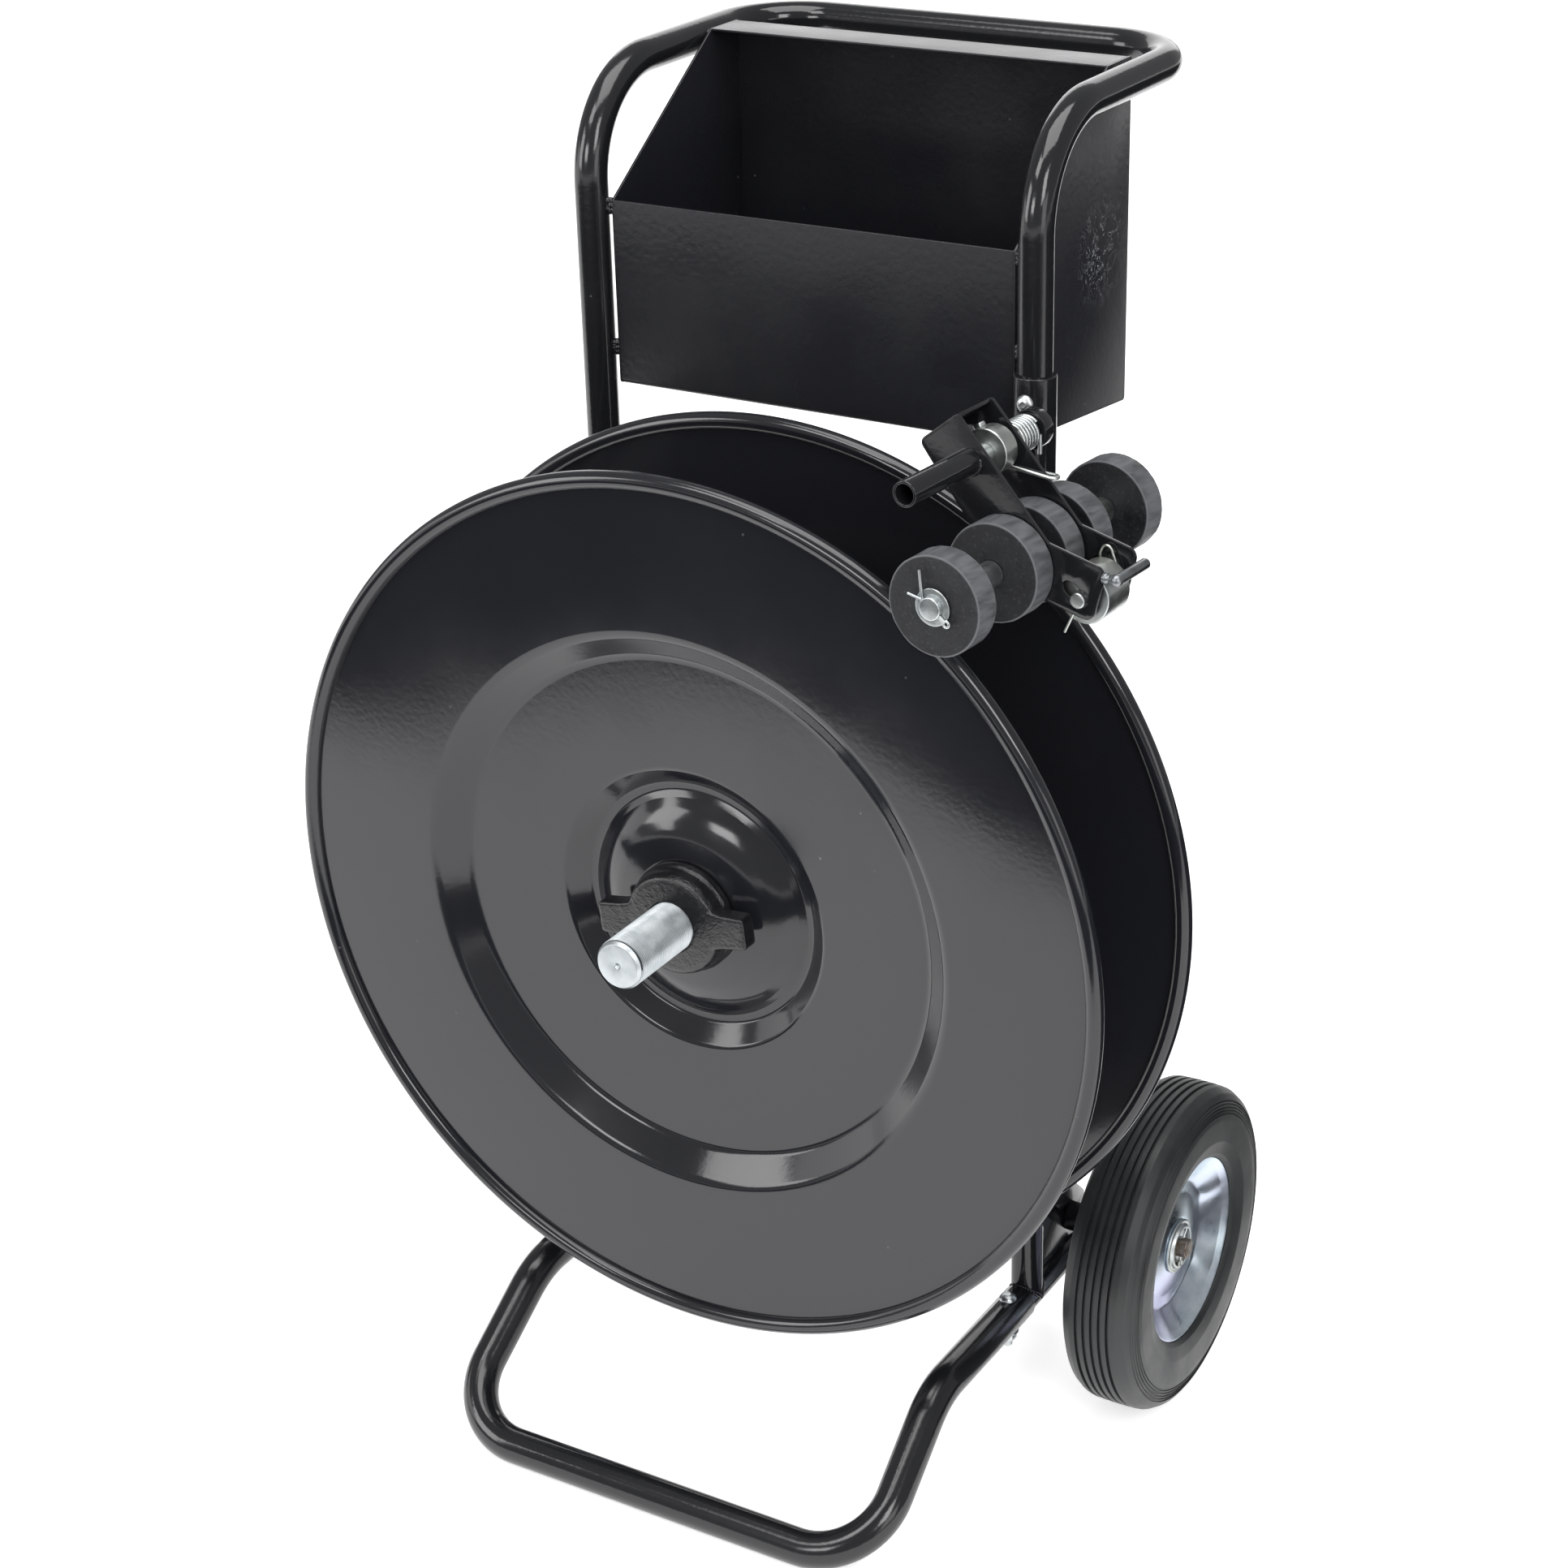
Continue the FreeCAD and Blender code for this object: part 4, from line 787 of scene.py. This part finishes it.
def make_nut():
    """Two-lug cast nut.  The hub and lugs are fused and slumped, as a sand casting is."""
    seat, front = 12.0 - 0.3, -10.0
    bm = bmesh.new()
    lathe(bm, [(SPINDLE_R + 0.1, seat), (43.0, seat), (43.0, seat - 6.5), (40.8, seat - 9.0),
               (40.2, seat - 16.0), (38.0, front + 0.6), (34.0, front - 0.6),
               (SPINDLE_R + 0.1, front - 1.6)],
          [0.8, 1.5, 1.0, 3.0, 3.0, 2.0, 3.0, 1.0], (0, REEL_FRONT, REEL_Z), BACK, 96)
    for side in (-1, 1):
        slab(bm, [(side * 24.0, REEL_FRONT - 10.4, REEL_Z - 17.0),
                  (side * 44.0, REEL_FRONT - 10.4, REEL_Z - 13.2),
                  (side * 63.2, REEL_FRONT - 10.4, REEL_Z - 12.2),
                  (side * 63.2, REEL_FRONT - 10.4, REEL_Z + 12.2),
                  (side * 44.0, REEL_FRONT - 10.4, REEL_Z + 13.2),
                  (side * 24.0, REEL_FRONT - 10.4, REEL_Z + 17.0)],
             [0, 20.0, 3.0, 3.0, 20.0, 0], (0, 15.0, 0), 1.4)
    bmesh.ops.rotate(bm, cent=(0, 0, REEL_Z), matrix=Matrix.Rotation(NUT_TILT, 3, "Y"),
                     verts=bm.verts)
    bmesh.ops.scale(bm, vec=(MM, MM, MM), verts=bm.verts)
    rough = bpy.data.meshes.new("nut_rough")
    bm.to_mesh(rough)
    bm.free()
    pattern = bpy.data.objects.new("nut_pattern", rough)
    bpy.context.scene.collection.objects.link(pattern)
    fused = pattern.modifiers.new("fused", "REMESH")
    fused.mode = "VOXEL"
    fused.voxel_size = 0.0009
    fused.adaptivity = 0.0
    slumped = pattern.modifiers.new("slumped", "SMOOTH")
    slumped.factor = 0.6
    slumped.iterations = 7
    graph = bpy.context.evaluated_depsgraph_get()
    graph.update()
    mesh = bpy.data.meshes.new_from_object(pattern.evaluated_get(graph))
    bpy.data.objects.remove(pattern)
    bpy.data.meshes.remove(rough)
    mesh.materials.clear()
    mesh.name = "nut_casting"
    placed("nut_casting", mesh, "clamp_nut", nut_paint, ["clamp_nut"], 60.0)


def make_reel():
    make_disc("front_flange_disc", REEL_FRONT, 1, SPINDLE_R + 0.3, "front_flange", "front_disc")
    make_disc("rear_flange_disc", REEL_REAR, -1, SPINDLE_R, "reel", "rear_disc")
    make_spindle()
    make_nut()
    for node, label, material, slot, edge in (
            ("rear_hub", "rear_hub_flange", *enamel, 0.8),
            ("core_tube", "core_spacer_tube", *enamel, 0.5),
            ("spindle_collar", "spindle_rear_collar", *zinc, 0.6),
            ("collar_screw", "rear_collar_screw", *zinc, 0.3)):
        softened(label, node, "reel", material, slot, edge)


# ------------------------------------------------------------------ wheels
def tyre_profile():
    """Half-round shouldered tyre: five tread grooves and fine rings on each shoulder."""
    left = [(RIM_R, -25.7, 0.5), (RIM_R + 3.5, -28.4, 2.0), (RIM_R + 14.0, -31.2, 8.0),
            (108.0, -31.7, 6.0)]
    for ring in range(5):
        r = 112.4 + 2.4 * ring
        out = -31.7 + 0.015 * (r - 108.0) ** 2
        left += [(r, out, 0.0), (r + 0.5, out + 1.0, 0.0), (r + 1.2, out + 1.05, 0.0),
                 (r + 1.7, out + 0.15, 0.0)]
    left += [(128.4, -25.6, 4.0), (132.3, -19.2, 4.0)]
    tread = []
    for groove in (-13.2, -6.6, 0.0, 6.6, 13.2):
        crown = WHEEL_R - 0.002 * groove * groove
        tread += [(crown, groove - 1.5, 0.0), (crown - 2.4, groove - 0.9, 0.0),
                  (crown - 2.4, groove + 0.9, 0.0), (crown, groove + 1.5, 0.0)]
    right = [(r, -along, bend) for r, along, bend in reversed(left)]
    return left + tread + right


def make_wheel(side, word):
    centre = (side * WHEEL_MID, AXLE_Y, WHEEL_R)
    outward = RIGHT * side
    body = "wheel_" + word
    profile = tyre_profile()
    bm = bmesh.new()
    lathe(bm, [(r, along) for r, along, _ in profile], [bend for _, _, bend in profile],
          centre, outward, 192)
    piece("tyre_" + word, bm, body, tyre_rubber, "tyre_rubber", "wheel_tyre_" + word, smooth=28.0)

    for face, label in ((1, "outer"), (-1, "inner")):
        near = [(RIM_R - 0.2, 25.3, 0.6), (RIM_R - 2.6, 23.3, 1.5), (RIM_R - 6.0, 20.3, 3.0),
                (58.0, 11.3, 5.0), (53.0, 7.9, 4.0), (43.0, 8.3, 10.0), (30.0, 11.3, 6.0),
                (24.0, 12.3, 2.0), (17.0, 12.7, 0.0)]
        far = [(r, along - 1.5, bend) for r, along, bend in reversed(near)]
        bm = bmesh.new()
        lathe(bm, [(r, along) for r, along, _ in near + far],
              [bend for _, _, bend in near + far], centre, outward * face, 180)
        for vert in bm.verts:
            reach = Vector((0, vert.co.y - AXLE_Y, vert.co.z - WHEEL_R))
            angle = math.atan2(reach.z, reach.y)
            nearest = round((angle - 0.35) / (FULL_TURN / 6.0)) * (FULL_TURN / 6.0) + 0.35
            along = (angle - nearest) * reach.length / 7.5
            up = (reach.length - 60.0) / 7.0
            vert.co += outward * face * 3.2 * math.exp(-along * along - up * up)
        piece("rim_" + label + "_dish_" + word, bm, body, rim_zinc, "rim_zinc",
              "wheel_rim_" + label + "_" + word, smooth=50.0)

    bm = bmesh.new()
    lathe(bm, [(13.5, -27.7), (17.0, -27.7), (17.0, 12.5), (21.6, 12.7), (22.6, 14.1), (21.2, 15.1),
               (18.6, 14.3), (17.6, 17.3), (15.5, 17.3), (15.5, 11.6), (13.5, 11.6)],
          [0.4, 0.6, 0, 0.6, 0.8, 1.0, 1.2, 0.8, 0.6, 0, 0.4], centre, outward, 96)
    piece("hub_barrel_" + word, bm, body, bright_zinc, "rim_zinc", "wheel_hub_" + word)
    softened("hub_bearings_" + word, "wheel_bearings_" + word, body, bearing_chrome,
             "bearing_steel", 0.3)


# ------------------------------------------------------------------ guide arm
def slot_loop(work, start, end, radius, level):
    """The edges of a round-ended slot in the plane of a side plate."""
    start, end = Vector((start[0], level, start[1])), Vector((end[0], level, end[1]))
    ahead = (end - start).normalized()
    side = ahead.cross(BACK).normalized()
    corners = [start + side * radius - ahead * radius, end + side * radius + ahead * radius,
               end - side * radius + ahead * radius, start - side * radius - ahead * radius]
    before = set(work.edges)
    face = work.faces.new([work.verts.new(corner) for corner in corners])
    for vert in list(face.verts):
        bmesh.ops.bevel(work, geom=[vert], offset=radius * 0.999, offset_type="OFFSET",
                        segments=6, profile=0.5, affect="VERTICES", clamp_overlap=True,
                        material=-1)
    made = [edge for edge in work.edges if edge not in before]
    faces = list({f for edge in made for f in edge.link_faces})
    bmesh.ops.delete(work, geom=faces, context="FACES_ONLY")
    return [edge for edge in made if edge.is_valid]


def side_plate(bm, level, outline, radii):
    """A side plate of the arm with the slot for the end pin."""
    work = bmesh.new()
    outline_face(work, [(x, level, z) for x, z in outline], radii)
    bmesh.ops.delete(work, geom=list(work.faces), context="FACES_ONLY")
    slot_loop(work, (END_PIN_N - 8.0, END_PIN_Z + 6.5), (END_PIN_N, END_PIN_Z), 5.6, level)
    bmesh.ops.triangle_fill(work, use_beauty=True, use_dissolve=True, edges=list(work.edges))
    bmesh.ops.remove_doubles(work, verts=work.verts, dist=0.005)
    grown = bmesh.ops.extrude_face_region(work, geom=list(work.faces))["geom"]
    bmesh.ops.translate(work, vec=(0, FLANGE_T, 0),
                        verts=[item for item in grown if isinstance(item, bmesh.types.BMVert)])
    bmesh.ops.recalc_face_normals(work, faces=work.faces)
    soften(work, 0.55, 50.0)
    join(bm, work)


def make_arm():
    outline = [(-9.7, 31.0), (-39.3, 7.6), (28.5, -80.0), (95.2, -95.2), (104.6, -56.8),
               (60.5, -46.1)]
    radii = [2.5, 5.0, 9.0, 7.0, 7.0, 6.0]
    bm = bmesh.new()
    for level in (FRONT_FLANGE, REAR_FLANGE):
        side_plate(bm, level, outline, radii)
    high, low = Vector((-9.7, 0, 31.0)), Vector((-39.3, 0, 7.6))
    inward = (Vector((28.5, 0, -80.0)) - low).normalized() * FLANGE_T
    ahead = (low - high).normalized()
    start, end = high + ahead * 0.8, low - ahead * 3.0
    work = bmesh.new()
    slab(work, [start + BACK * FRONT_FLANGE, end + BACK * FRONT_FLANGE,
                end + BACK * (REAR_FLANGE + FLANGE_T), start + BACK * (REAR_FLANGE + FLANGE_T)],
         None, inward, 1.1)
    join(bm, work)
    guide_piece("arm_side_plates", bm, "guide_arm", *enamel, "arm_bracket")

    bm = bmesh.new()
    lathe(bm, band(PIVOT_R + 0.05, 9.1, -29.2, FRONT_FLANGE), [0.7, 0.9, 0, 0], (0, 0, 0), BACK, 64)
    ring = [(9.3 * math.cos(a), FRONT_FLANGE - 0.6, 9.3 * math.sin(a))
            for a in [math.radians(200.0 + 10.0 * n) for n in range(19)]]
    weld_bead(bm, ring, 1.7, 31)
    guide_piece("arm_handle_tube", bm, "guide_arm", *enamel, "arm_handle")

    bm = bmesh.new()
    lathe(bm, band(0, SHAFT_R, -50.0, 199.6), [0, 1.0, 1.0, 0],
          (SHAFT_N, 0, SHAFT_Z), BACK, 56)
    guide_piece("roller_shaft_bar", bm, "guide_arm", *zinc, "roller_shaft")

    ends = [start + ROLLER_W for start in ROLLER_STARTS]
    gaps = [(ends[0], ROLLER_STARTS[1]), (ends[1], FRONT_FLANGE),
            (FRONT_FLANGE + FLANGE_T, ROLLER_STARTS[2]), (ends[2], REAR_FLANGE),
            (REAR_FLANGE + FLANGE_T, ROLLER_STARTS[3]), (ends[3], ROLLER_STARTS[4])]
    bm = bmesh.new()
    for start, end in gaps:
        lathe(bm, band(SHAFT_R, 9.0, start + 0.3, end - 0.3),
              [0, 0.4, 0.4, 0], (SHAFT_N, 0, SHAFT_Z), BACK, 48)
    guide_piece("roller_spacer_tubes", bm, "guide_arm", *zinc, "roller_spacers")

    bm = bmesh.new()
    for start, way in ((ROLLER_STARTS[0] - 0.3, -1), (ends[-1] + 0.3, 1)):
        lathe(bm, band(SHAFT_R, 13.0, 0, 1.6), [0, 0.5, 0.5, 0.3],
              (SHAFT_N, start, SHAFT_Z), BACK * way, 56)
    guide_piece("roller_shaft_washers", bm, "guide_arm", *zinc, "shaft_washers")

    bm = bmesh.new()
    split_pin(bm, (SHAFT_N, -47.4, SHAFT_Z), (-0.80, 0, 0.60), (0.60, 0, 0.80), 25.0, 0.95,
              ((9.5, -4.5), (13.0, 14.0)))
    split_pin(bm, (SHAFT_N, ends[-1] + 3.4, SHAFT_Z), (-0.86, 0, 0.5), (0.5, 0, 0.86), 26.0, 0.95,
              ((6.0, -6.0), (7.0, 6.0)))
    low = Vector((END_PIN_N - 3.0, FRONT_FLANGE + FLANGE_T + 1.4, END_PIN_Z - 5.0))
    tube(bm, [low, low + Vector((-9.9, 0, -21.8))], [], 0.9, 12, 1)
    guide_piece("guide_split_pins", bm, "guide_arm", *zinc, "arm_cotters")

    bm = bmesh.new()
    lathe(bm, band(0, 5.5, -3.0, 47.8), [0, 1.1, 1.1, 0],
          (END_PIN_N, FRONT_FLANGE, END_PIN_Z), BACK, 48)
    guide_piece("end_roller_pin", bm, "guide_arm", *zinc, "end_pin")

    bm = bmesh.new()
    start, end = FRONT_FLANGE + FLANGE_T + 3.0, REAR_FLANGE - 7.0
    lathe(bm, band(5.56, 19.0, start, end), [0.4, 1.2, 1.2, 0.4],
          (END_PIN_N, 0, END_PIN_Z), BACK, 80)
    guide_piece("end_roller_barrel", bm, "end_roller", *zinc, "end_roller")

    level = REAR_FLANGE - 3.5
    bm = bmesh.new()
    loop = [(-6.6, -8.0), (-6.6, 20.0), (-1.0, 32.0), (6.6, 12.0), (6.6, -8.0)]
    tube(bm, [(END_PIN_N + n, level, END_PIN_Z + z) for n, z in loop], [5.0, 4.0, 8.0], 0.9, 12, 10)
    guide_piece("end_pin_clip", bm, "guide_arm", *zinc, "hairpin_clip")

    bm = bmesh.new()
    level = FRONT_FLANGE + 1.0
    lathe(bm, band(0, 3.9, 0, 38.0), [0, 0.3, 1.2, 0],
          (113.0, level, -62.0), BACK, 40)
    lathe(bm, [(0, -5.0), (3.2, -3.9), (5.0, 0), (3.2, 3.9), (0, 5.0)], [0, 4.0, 5.0, 4.0, 0],
          (113.0, level, -62.0), BACK, 40)
    lathe(bm, [(0, -1.0), (3.6, -1.0), (3.9, 2.0), (2.4, 4.0), (3.6, 6.6), (2.6, 9.0), (0, 9.4)],
          [0, 0.8, 1.5, 1.0, 1.5, 1.0, 0], (103.4, level, -62.0), RIGHT, 32)
    guide_piece("strap_guide_bar", bm, "guide_arm", bar_plate, "zinc_steel", "guide_bar")


def make_pivot():
    bm = bmesh.new()
    lathe(bm, band(TUBE_R + 0.05, SLEEVE_R, SLEEVE_LOW, SLEEVE_TOP), [0.4, 0.8, 0.8, 0.4],
          (FRAME_HALF, FRAME_Y, 0), UP, 72)
    piece("arm_sleeve", bm, "frame", *enamel, "guide_sleeve")

    bm = bmesh.new()
    dome_bolt(bm, (FRAME_HALF, FRAME_Y - SLEEVE_R + 0.4, SLEEVE_BOLT_Z), -BACK, 6.5, 4.3, 4.0, 39.9)
    piece("sleeve_dome_bolt", bm, "frame", *zinc, "sleeve_bolt")
    bm = bmesh.new()
    hex_body(bm, (FRAME_HALF, FRAME_Y + SLEEVE_R, SLEEVE_BOLT_Z), BACK, 13.0, 6.5, 0.2)
    piece("sleeve_hex_nut", bm, "frame", *zinc, "sleeve_nut")
    softened("pivot_boss_plate", "pivot_boss", "frame", *enamel, 0.8)

    bm = bmesh.new()
    lathe(bm, band(0, PIVOT_R, FRONT_FLANGE - 8.0, 124.0),
          [0, 0.8, 0, 0], (0, 0, 0), BACK, 48)
    guide_piece("pivot_bar", bm, "frame", *zinc, "pivot_shaft")

    bm = bmesh.new()
    lathe(bm, band(PIVOT_R, 16.5, 69.0, 84.0), [0.6, 1.0, 1.0, 0.6],
          (0, 0, 0), BACK, 72)
    guide_piece("pivot_collar", bm, "frame", *zinc, "shaft_collar")

    bm = bmesh.new()
    up = Vector((-1.0, 0, 1.6)).normalized()
    lathe(bm, band(0, 3.0, 7.2, 16.4), [0, 0, 0, 0], (0, 76.5, 0), up, 24)
    hex_body(bm, Vector((0, 76.5, 0)) + up * 16.2, up, 8.6, 3.3, 0.5)
    guide_piece("collar_set_screw", bm, "frame", *zinc, "set_screw")

    start = REAR_FLANGE + FLANGE_T + 2.5
    bm = bmesh.new()
    coil(bm, (0, start, 0), BACK, 11.0, 1.5, 3.55, 7, 14)
    before = start - 0.2
    tube(bm, [(11.0, before, 0.0), (11.0, before, -17.0), (42.0, before, -17.0),
              (42.0, REAR_FLANGE - 2.4, -17.0), (9.0, REAR_FLANGE - 2.4, -14.0)],
         [3.5, 3.5, 3.5], 1.5, 14, 8)
    tube(bm, [(11.0, start + 24.85, 0), (11.0, start + 24.85, -14.0)], [], 1.5, 14, 1)
    guide_piece("arm_torsion_spring", bm, "guide_arm", *zinc, "torsion_spring")


def make_roller(number, start):
    """Rubber disc cut from sheet; the cutter leaves its rim slightly uneven."""
    bm = bmesh.new()
    lathe(bm, [(SHAFT_R + 0.1, start), (20.0, start), (32.5, start), (ROLLER_R, start),
               (ROLLER_R, start + ROLLER_W * 0.33), (ROLLER_R, start + ROLLER_W * 0.66),
               (ROLLER_R, start + ROLLER_W), (32.5, start + ROLLER_W), (20.0, start + ROLLER_W),
               (SHAFT_R + 0.1, start + ROLLER_W)],
          [0.4, 0, 0, 1.1, 0, 0, 1.1, 0, 0, 0.4], (SHAFT_N, 0, SHAFT_Z), BACK, 144)
    centre = Vector((SHAFT_N, 0, SHAFT_Z))
    for vert in bm.verts:
        reach = vert.co - centre
        reach.y = 0.0
        if reach.length > 33.0:
            spot = Vector((vert.co.x, vert.co.y * 0.25 + number * 40.0, vert.co.z)) * 0.22
            ragged = 0.30 * noise.noise(spot) + 0.16 * noise.noise(spot * 3.1) - 0.25
            vert.co += reach.normalized() * ragged
    name = "guide_roller_%d" % number
    guide_piece("rubber_roller_%d" % number, bm, name, roller_rubber, "roller_rubber", name,
                smooth=45.0)


make_frame()
make_axle()
make_tray()
make_reel()
make_wheel(1, "right")
make_wheel(-1, "left")
make_arm()
make_pivot()
for roller_number, roller_start in enumerate(ROLLER_STARTS, 1):
    make_roller(roller_number, roller_start)


# ------------------------------------------------------------------ studio
def studio_floor():
    """White paper floor, large enough to fill every reflection."""
    bm = bmesh.new()
    bmesh.ops.create_grid(bm, x_segments=2, y_segments=2, size=14.0)
    mesh = bpy.data.meshes.new("studio_floor")
    bm.to_mesh(mesh)
    bm.free()
    paper, tree, shader, coords = new_finish("white_paper", 0.0, 1.45)
    shader.inputs["Roughness"].default_value = 0.9
    fibre = add_node(tree, "TexNoise", {}, {"Vector": coords, "Scale": 3.0, "Detail": 2.0})
    tone = add_node(tree, "ValToRGB", {}, {"Fac": fibre.outputs["Fac"]},
        [(0.3, linear("#f4f4f4")), (0.7, linear("#f8f8f8"))]).outputs["Color"]
    tree.links.new(tone, shader.inputs["Base Color"])
    shader.inputs["Emission Color"].default_value = (1.0, 1.0, 1.0, 1.0)
    shader.inputs["Emission Strength"].default_value = 0.55
    mesh.materials.append(paper)
    floor = bpy.data.objects.new("studio_floor", mesh)
    bpy.context.scene.collection.objects.link(floor)


def soft_box(name, spot, aim, size, power):
    lamp = bpy.data.lights.new(name, "AREA")
    lamp.shape = "RECTANGLE"
    lamp.size, lamp.size_y = size
    lamp.energy = power
    holder = bpy.data.objects.new(name, lamp)
    holder.location = spot
    holder.rotation_euler = (Vector(aim) - Vector(spot)).to_track_quat("-Z", "Y").to_euler()
    bpy.context.scene.collection.objects.link(holder)


def reflection_card(name, spot, aim, size, tone, strength):
    """A card that only reflections see: black to keep the enamel deep, white to lift it."""
    bm = bmesh.new()
    bmesh.ops.create_grid(bm, x_segments=1, y_segments=1, size=0.5)
    bmesh.ops.scale(bm, vec=(size[0], size[1], 1.0), verts=bm.verts)
    face = (Vector(aim) - Vector(spot)).to_track_quat("Z", "Y").to_matrix().to_4x4()
    bmesh.ops.transform(bm, matrix=Matrix.Translation(Vector(spot)) @ face, verts=bm.verts)
    mesh = bpy.data.meshes.new(name)
    bm.to_mesh(mesh)
    bm.free()
    board, tree, shader, coords = new_finish(name, 0.0, 1.45)
    shader.inputs["Base Color"].default_value = (0.0, 0.0, 0.0, 1.0)
    shader.inputs["Roughness"].default_value = 1.0
    shader.inputs["Specular IOR Level"].default_value = 0.0
    shader.inputs["Emission Color"].default_value = tone
    shader.inputs["Emission Strength"].default_value = strength
    mesh.materials.append(board)
    card = bpy.data.objects.new(name, mesh)
    card.visible_camera = False
    card.visible_diffuse = False
    card.visible_shadow = False
    card.visible_transmission = False
    bpy.context.scene.collection.objects.link(card)


def studio_light():
    world = bpy.data.worlds.new("studio")
    bpy.context.scene.world = world
    world.use_nodes = True
    tree = world.node_tree
    sky = tree.nodes["Background"]
    sky.inputs["Color"].default_value = (1.0, 1.0, 1.0, 1.0)
    path = add_node(tree, "LightPath", {}, {})
    level = add_node(tree, "MapRange", {}, {
        "Value": path.outputs["Is Glossy Ray"], "To Min": 0.95, "To Max": 0.36})
    tree.links.new(level.outputs["Result"], sky.inputs["Strength"])
    soft_box("overhead", (0.2, -0.3, 3.6), (0, 0, 0.3), (2.6, 2.2), 85.0)
    soft_box("key_right", (2.6, -2.2, 2.6), (0, 0, 0.5), (1.1, 1.6), 45.0)
    soft_box("fill_left", (-2.8, -2.6, 1.8), (0, 0, 0.5), (1.4, 1.8), 45.0)
    white, black = (1.0, 1.0, 1.0, 1.0), (0.0, 0.0, 0.0, 1.0)
    reflection_card("front_window", (-0.45, -3.4, 1.9), (0, 0, 0.5), (1.1, 0.8), white, 9.0)
    reflection_card("high_window", (-0.9, -2.0, 3.3), (0, 0, 0.5), (1.2, 0.9), white, 7.0)
    reflection_card("left_window", (-3.5, -1.4, 0.9), (0, 0, 0.5), (1.4, 1.3), white, 2.0)
    reflection_card("back_window", (-1.1, 2.2, 1.75), (0, 0, 1.0), (2.4, 1.4), white, 2.0)
    reflection_card("right_window", (3.6, -1.6, 1.1), (0, 0, 0.2), (1.6, 1.4), white, 2.6)
    reflection_card("front_flag", (0.3, -3.2, 0.004), (0.3, -3.2, 1.0), (9.0, 3.9), black, 0.0)
    reflection_card("right_flag", (3.7, 4.0, 0.004), (3.7, 4.0, 1.0), (6.6, 8.0), black, 0.0)


def camera():
    azimuth, elevation, tilt = math.radians(31.22), math.radians(24.72), math.radians(-1.5)
    back = Vector((math.sin(azimuth) * math.cos(elevation),
                   -math.cos(azimuth) * math.cos(elevation), math.sin(elevation)))
    lens = bpy.data.cameras.new("camera")
    lens.lens = 71.95
    lens.sensor_width = 36.0
    lens.shift_x = -0.0049
    lens.shift_y = 0.0019
    holder = bpy.data.objects.new("camera", lens)
    holder.location = (1.1288, -1.8923, 1.5246)
    level = (-back).to_track_quat("-Z", "Y").to_matrix()
    roll = Matrix.Rotation(tilt, 3, "Z")
    holder.rotation_euler = (level @ roll).to_euler()
    bpy.context.scene.collection.objects.link(holder)
    bpy.context.scene.camera = holder


studio_floor()
studio_light()
camera()
bpy.context.scene.view_settings.view_transform = "Standard"
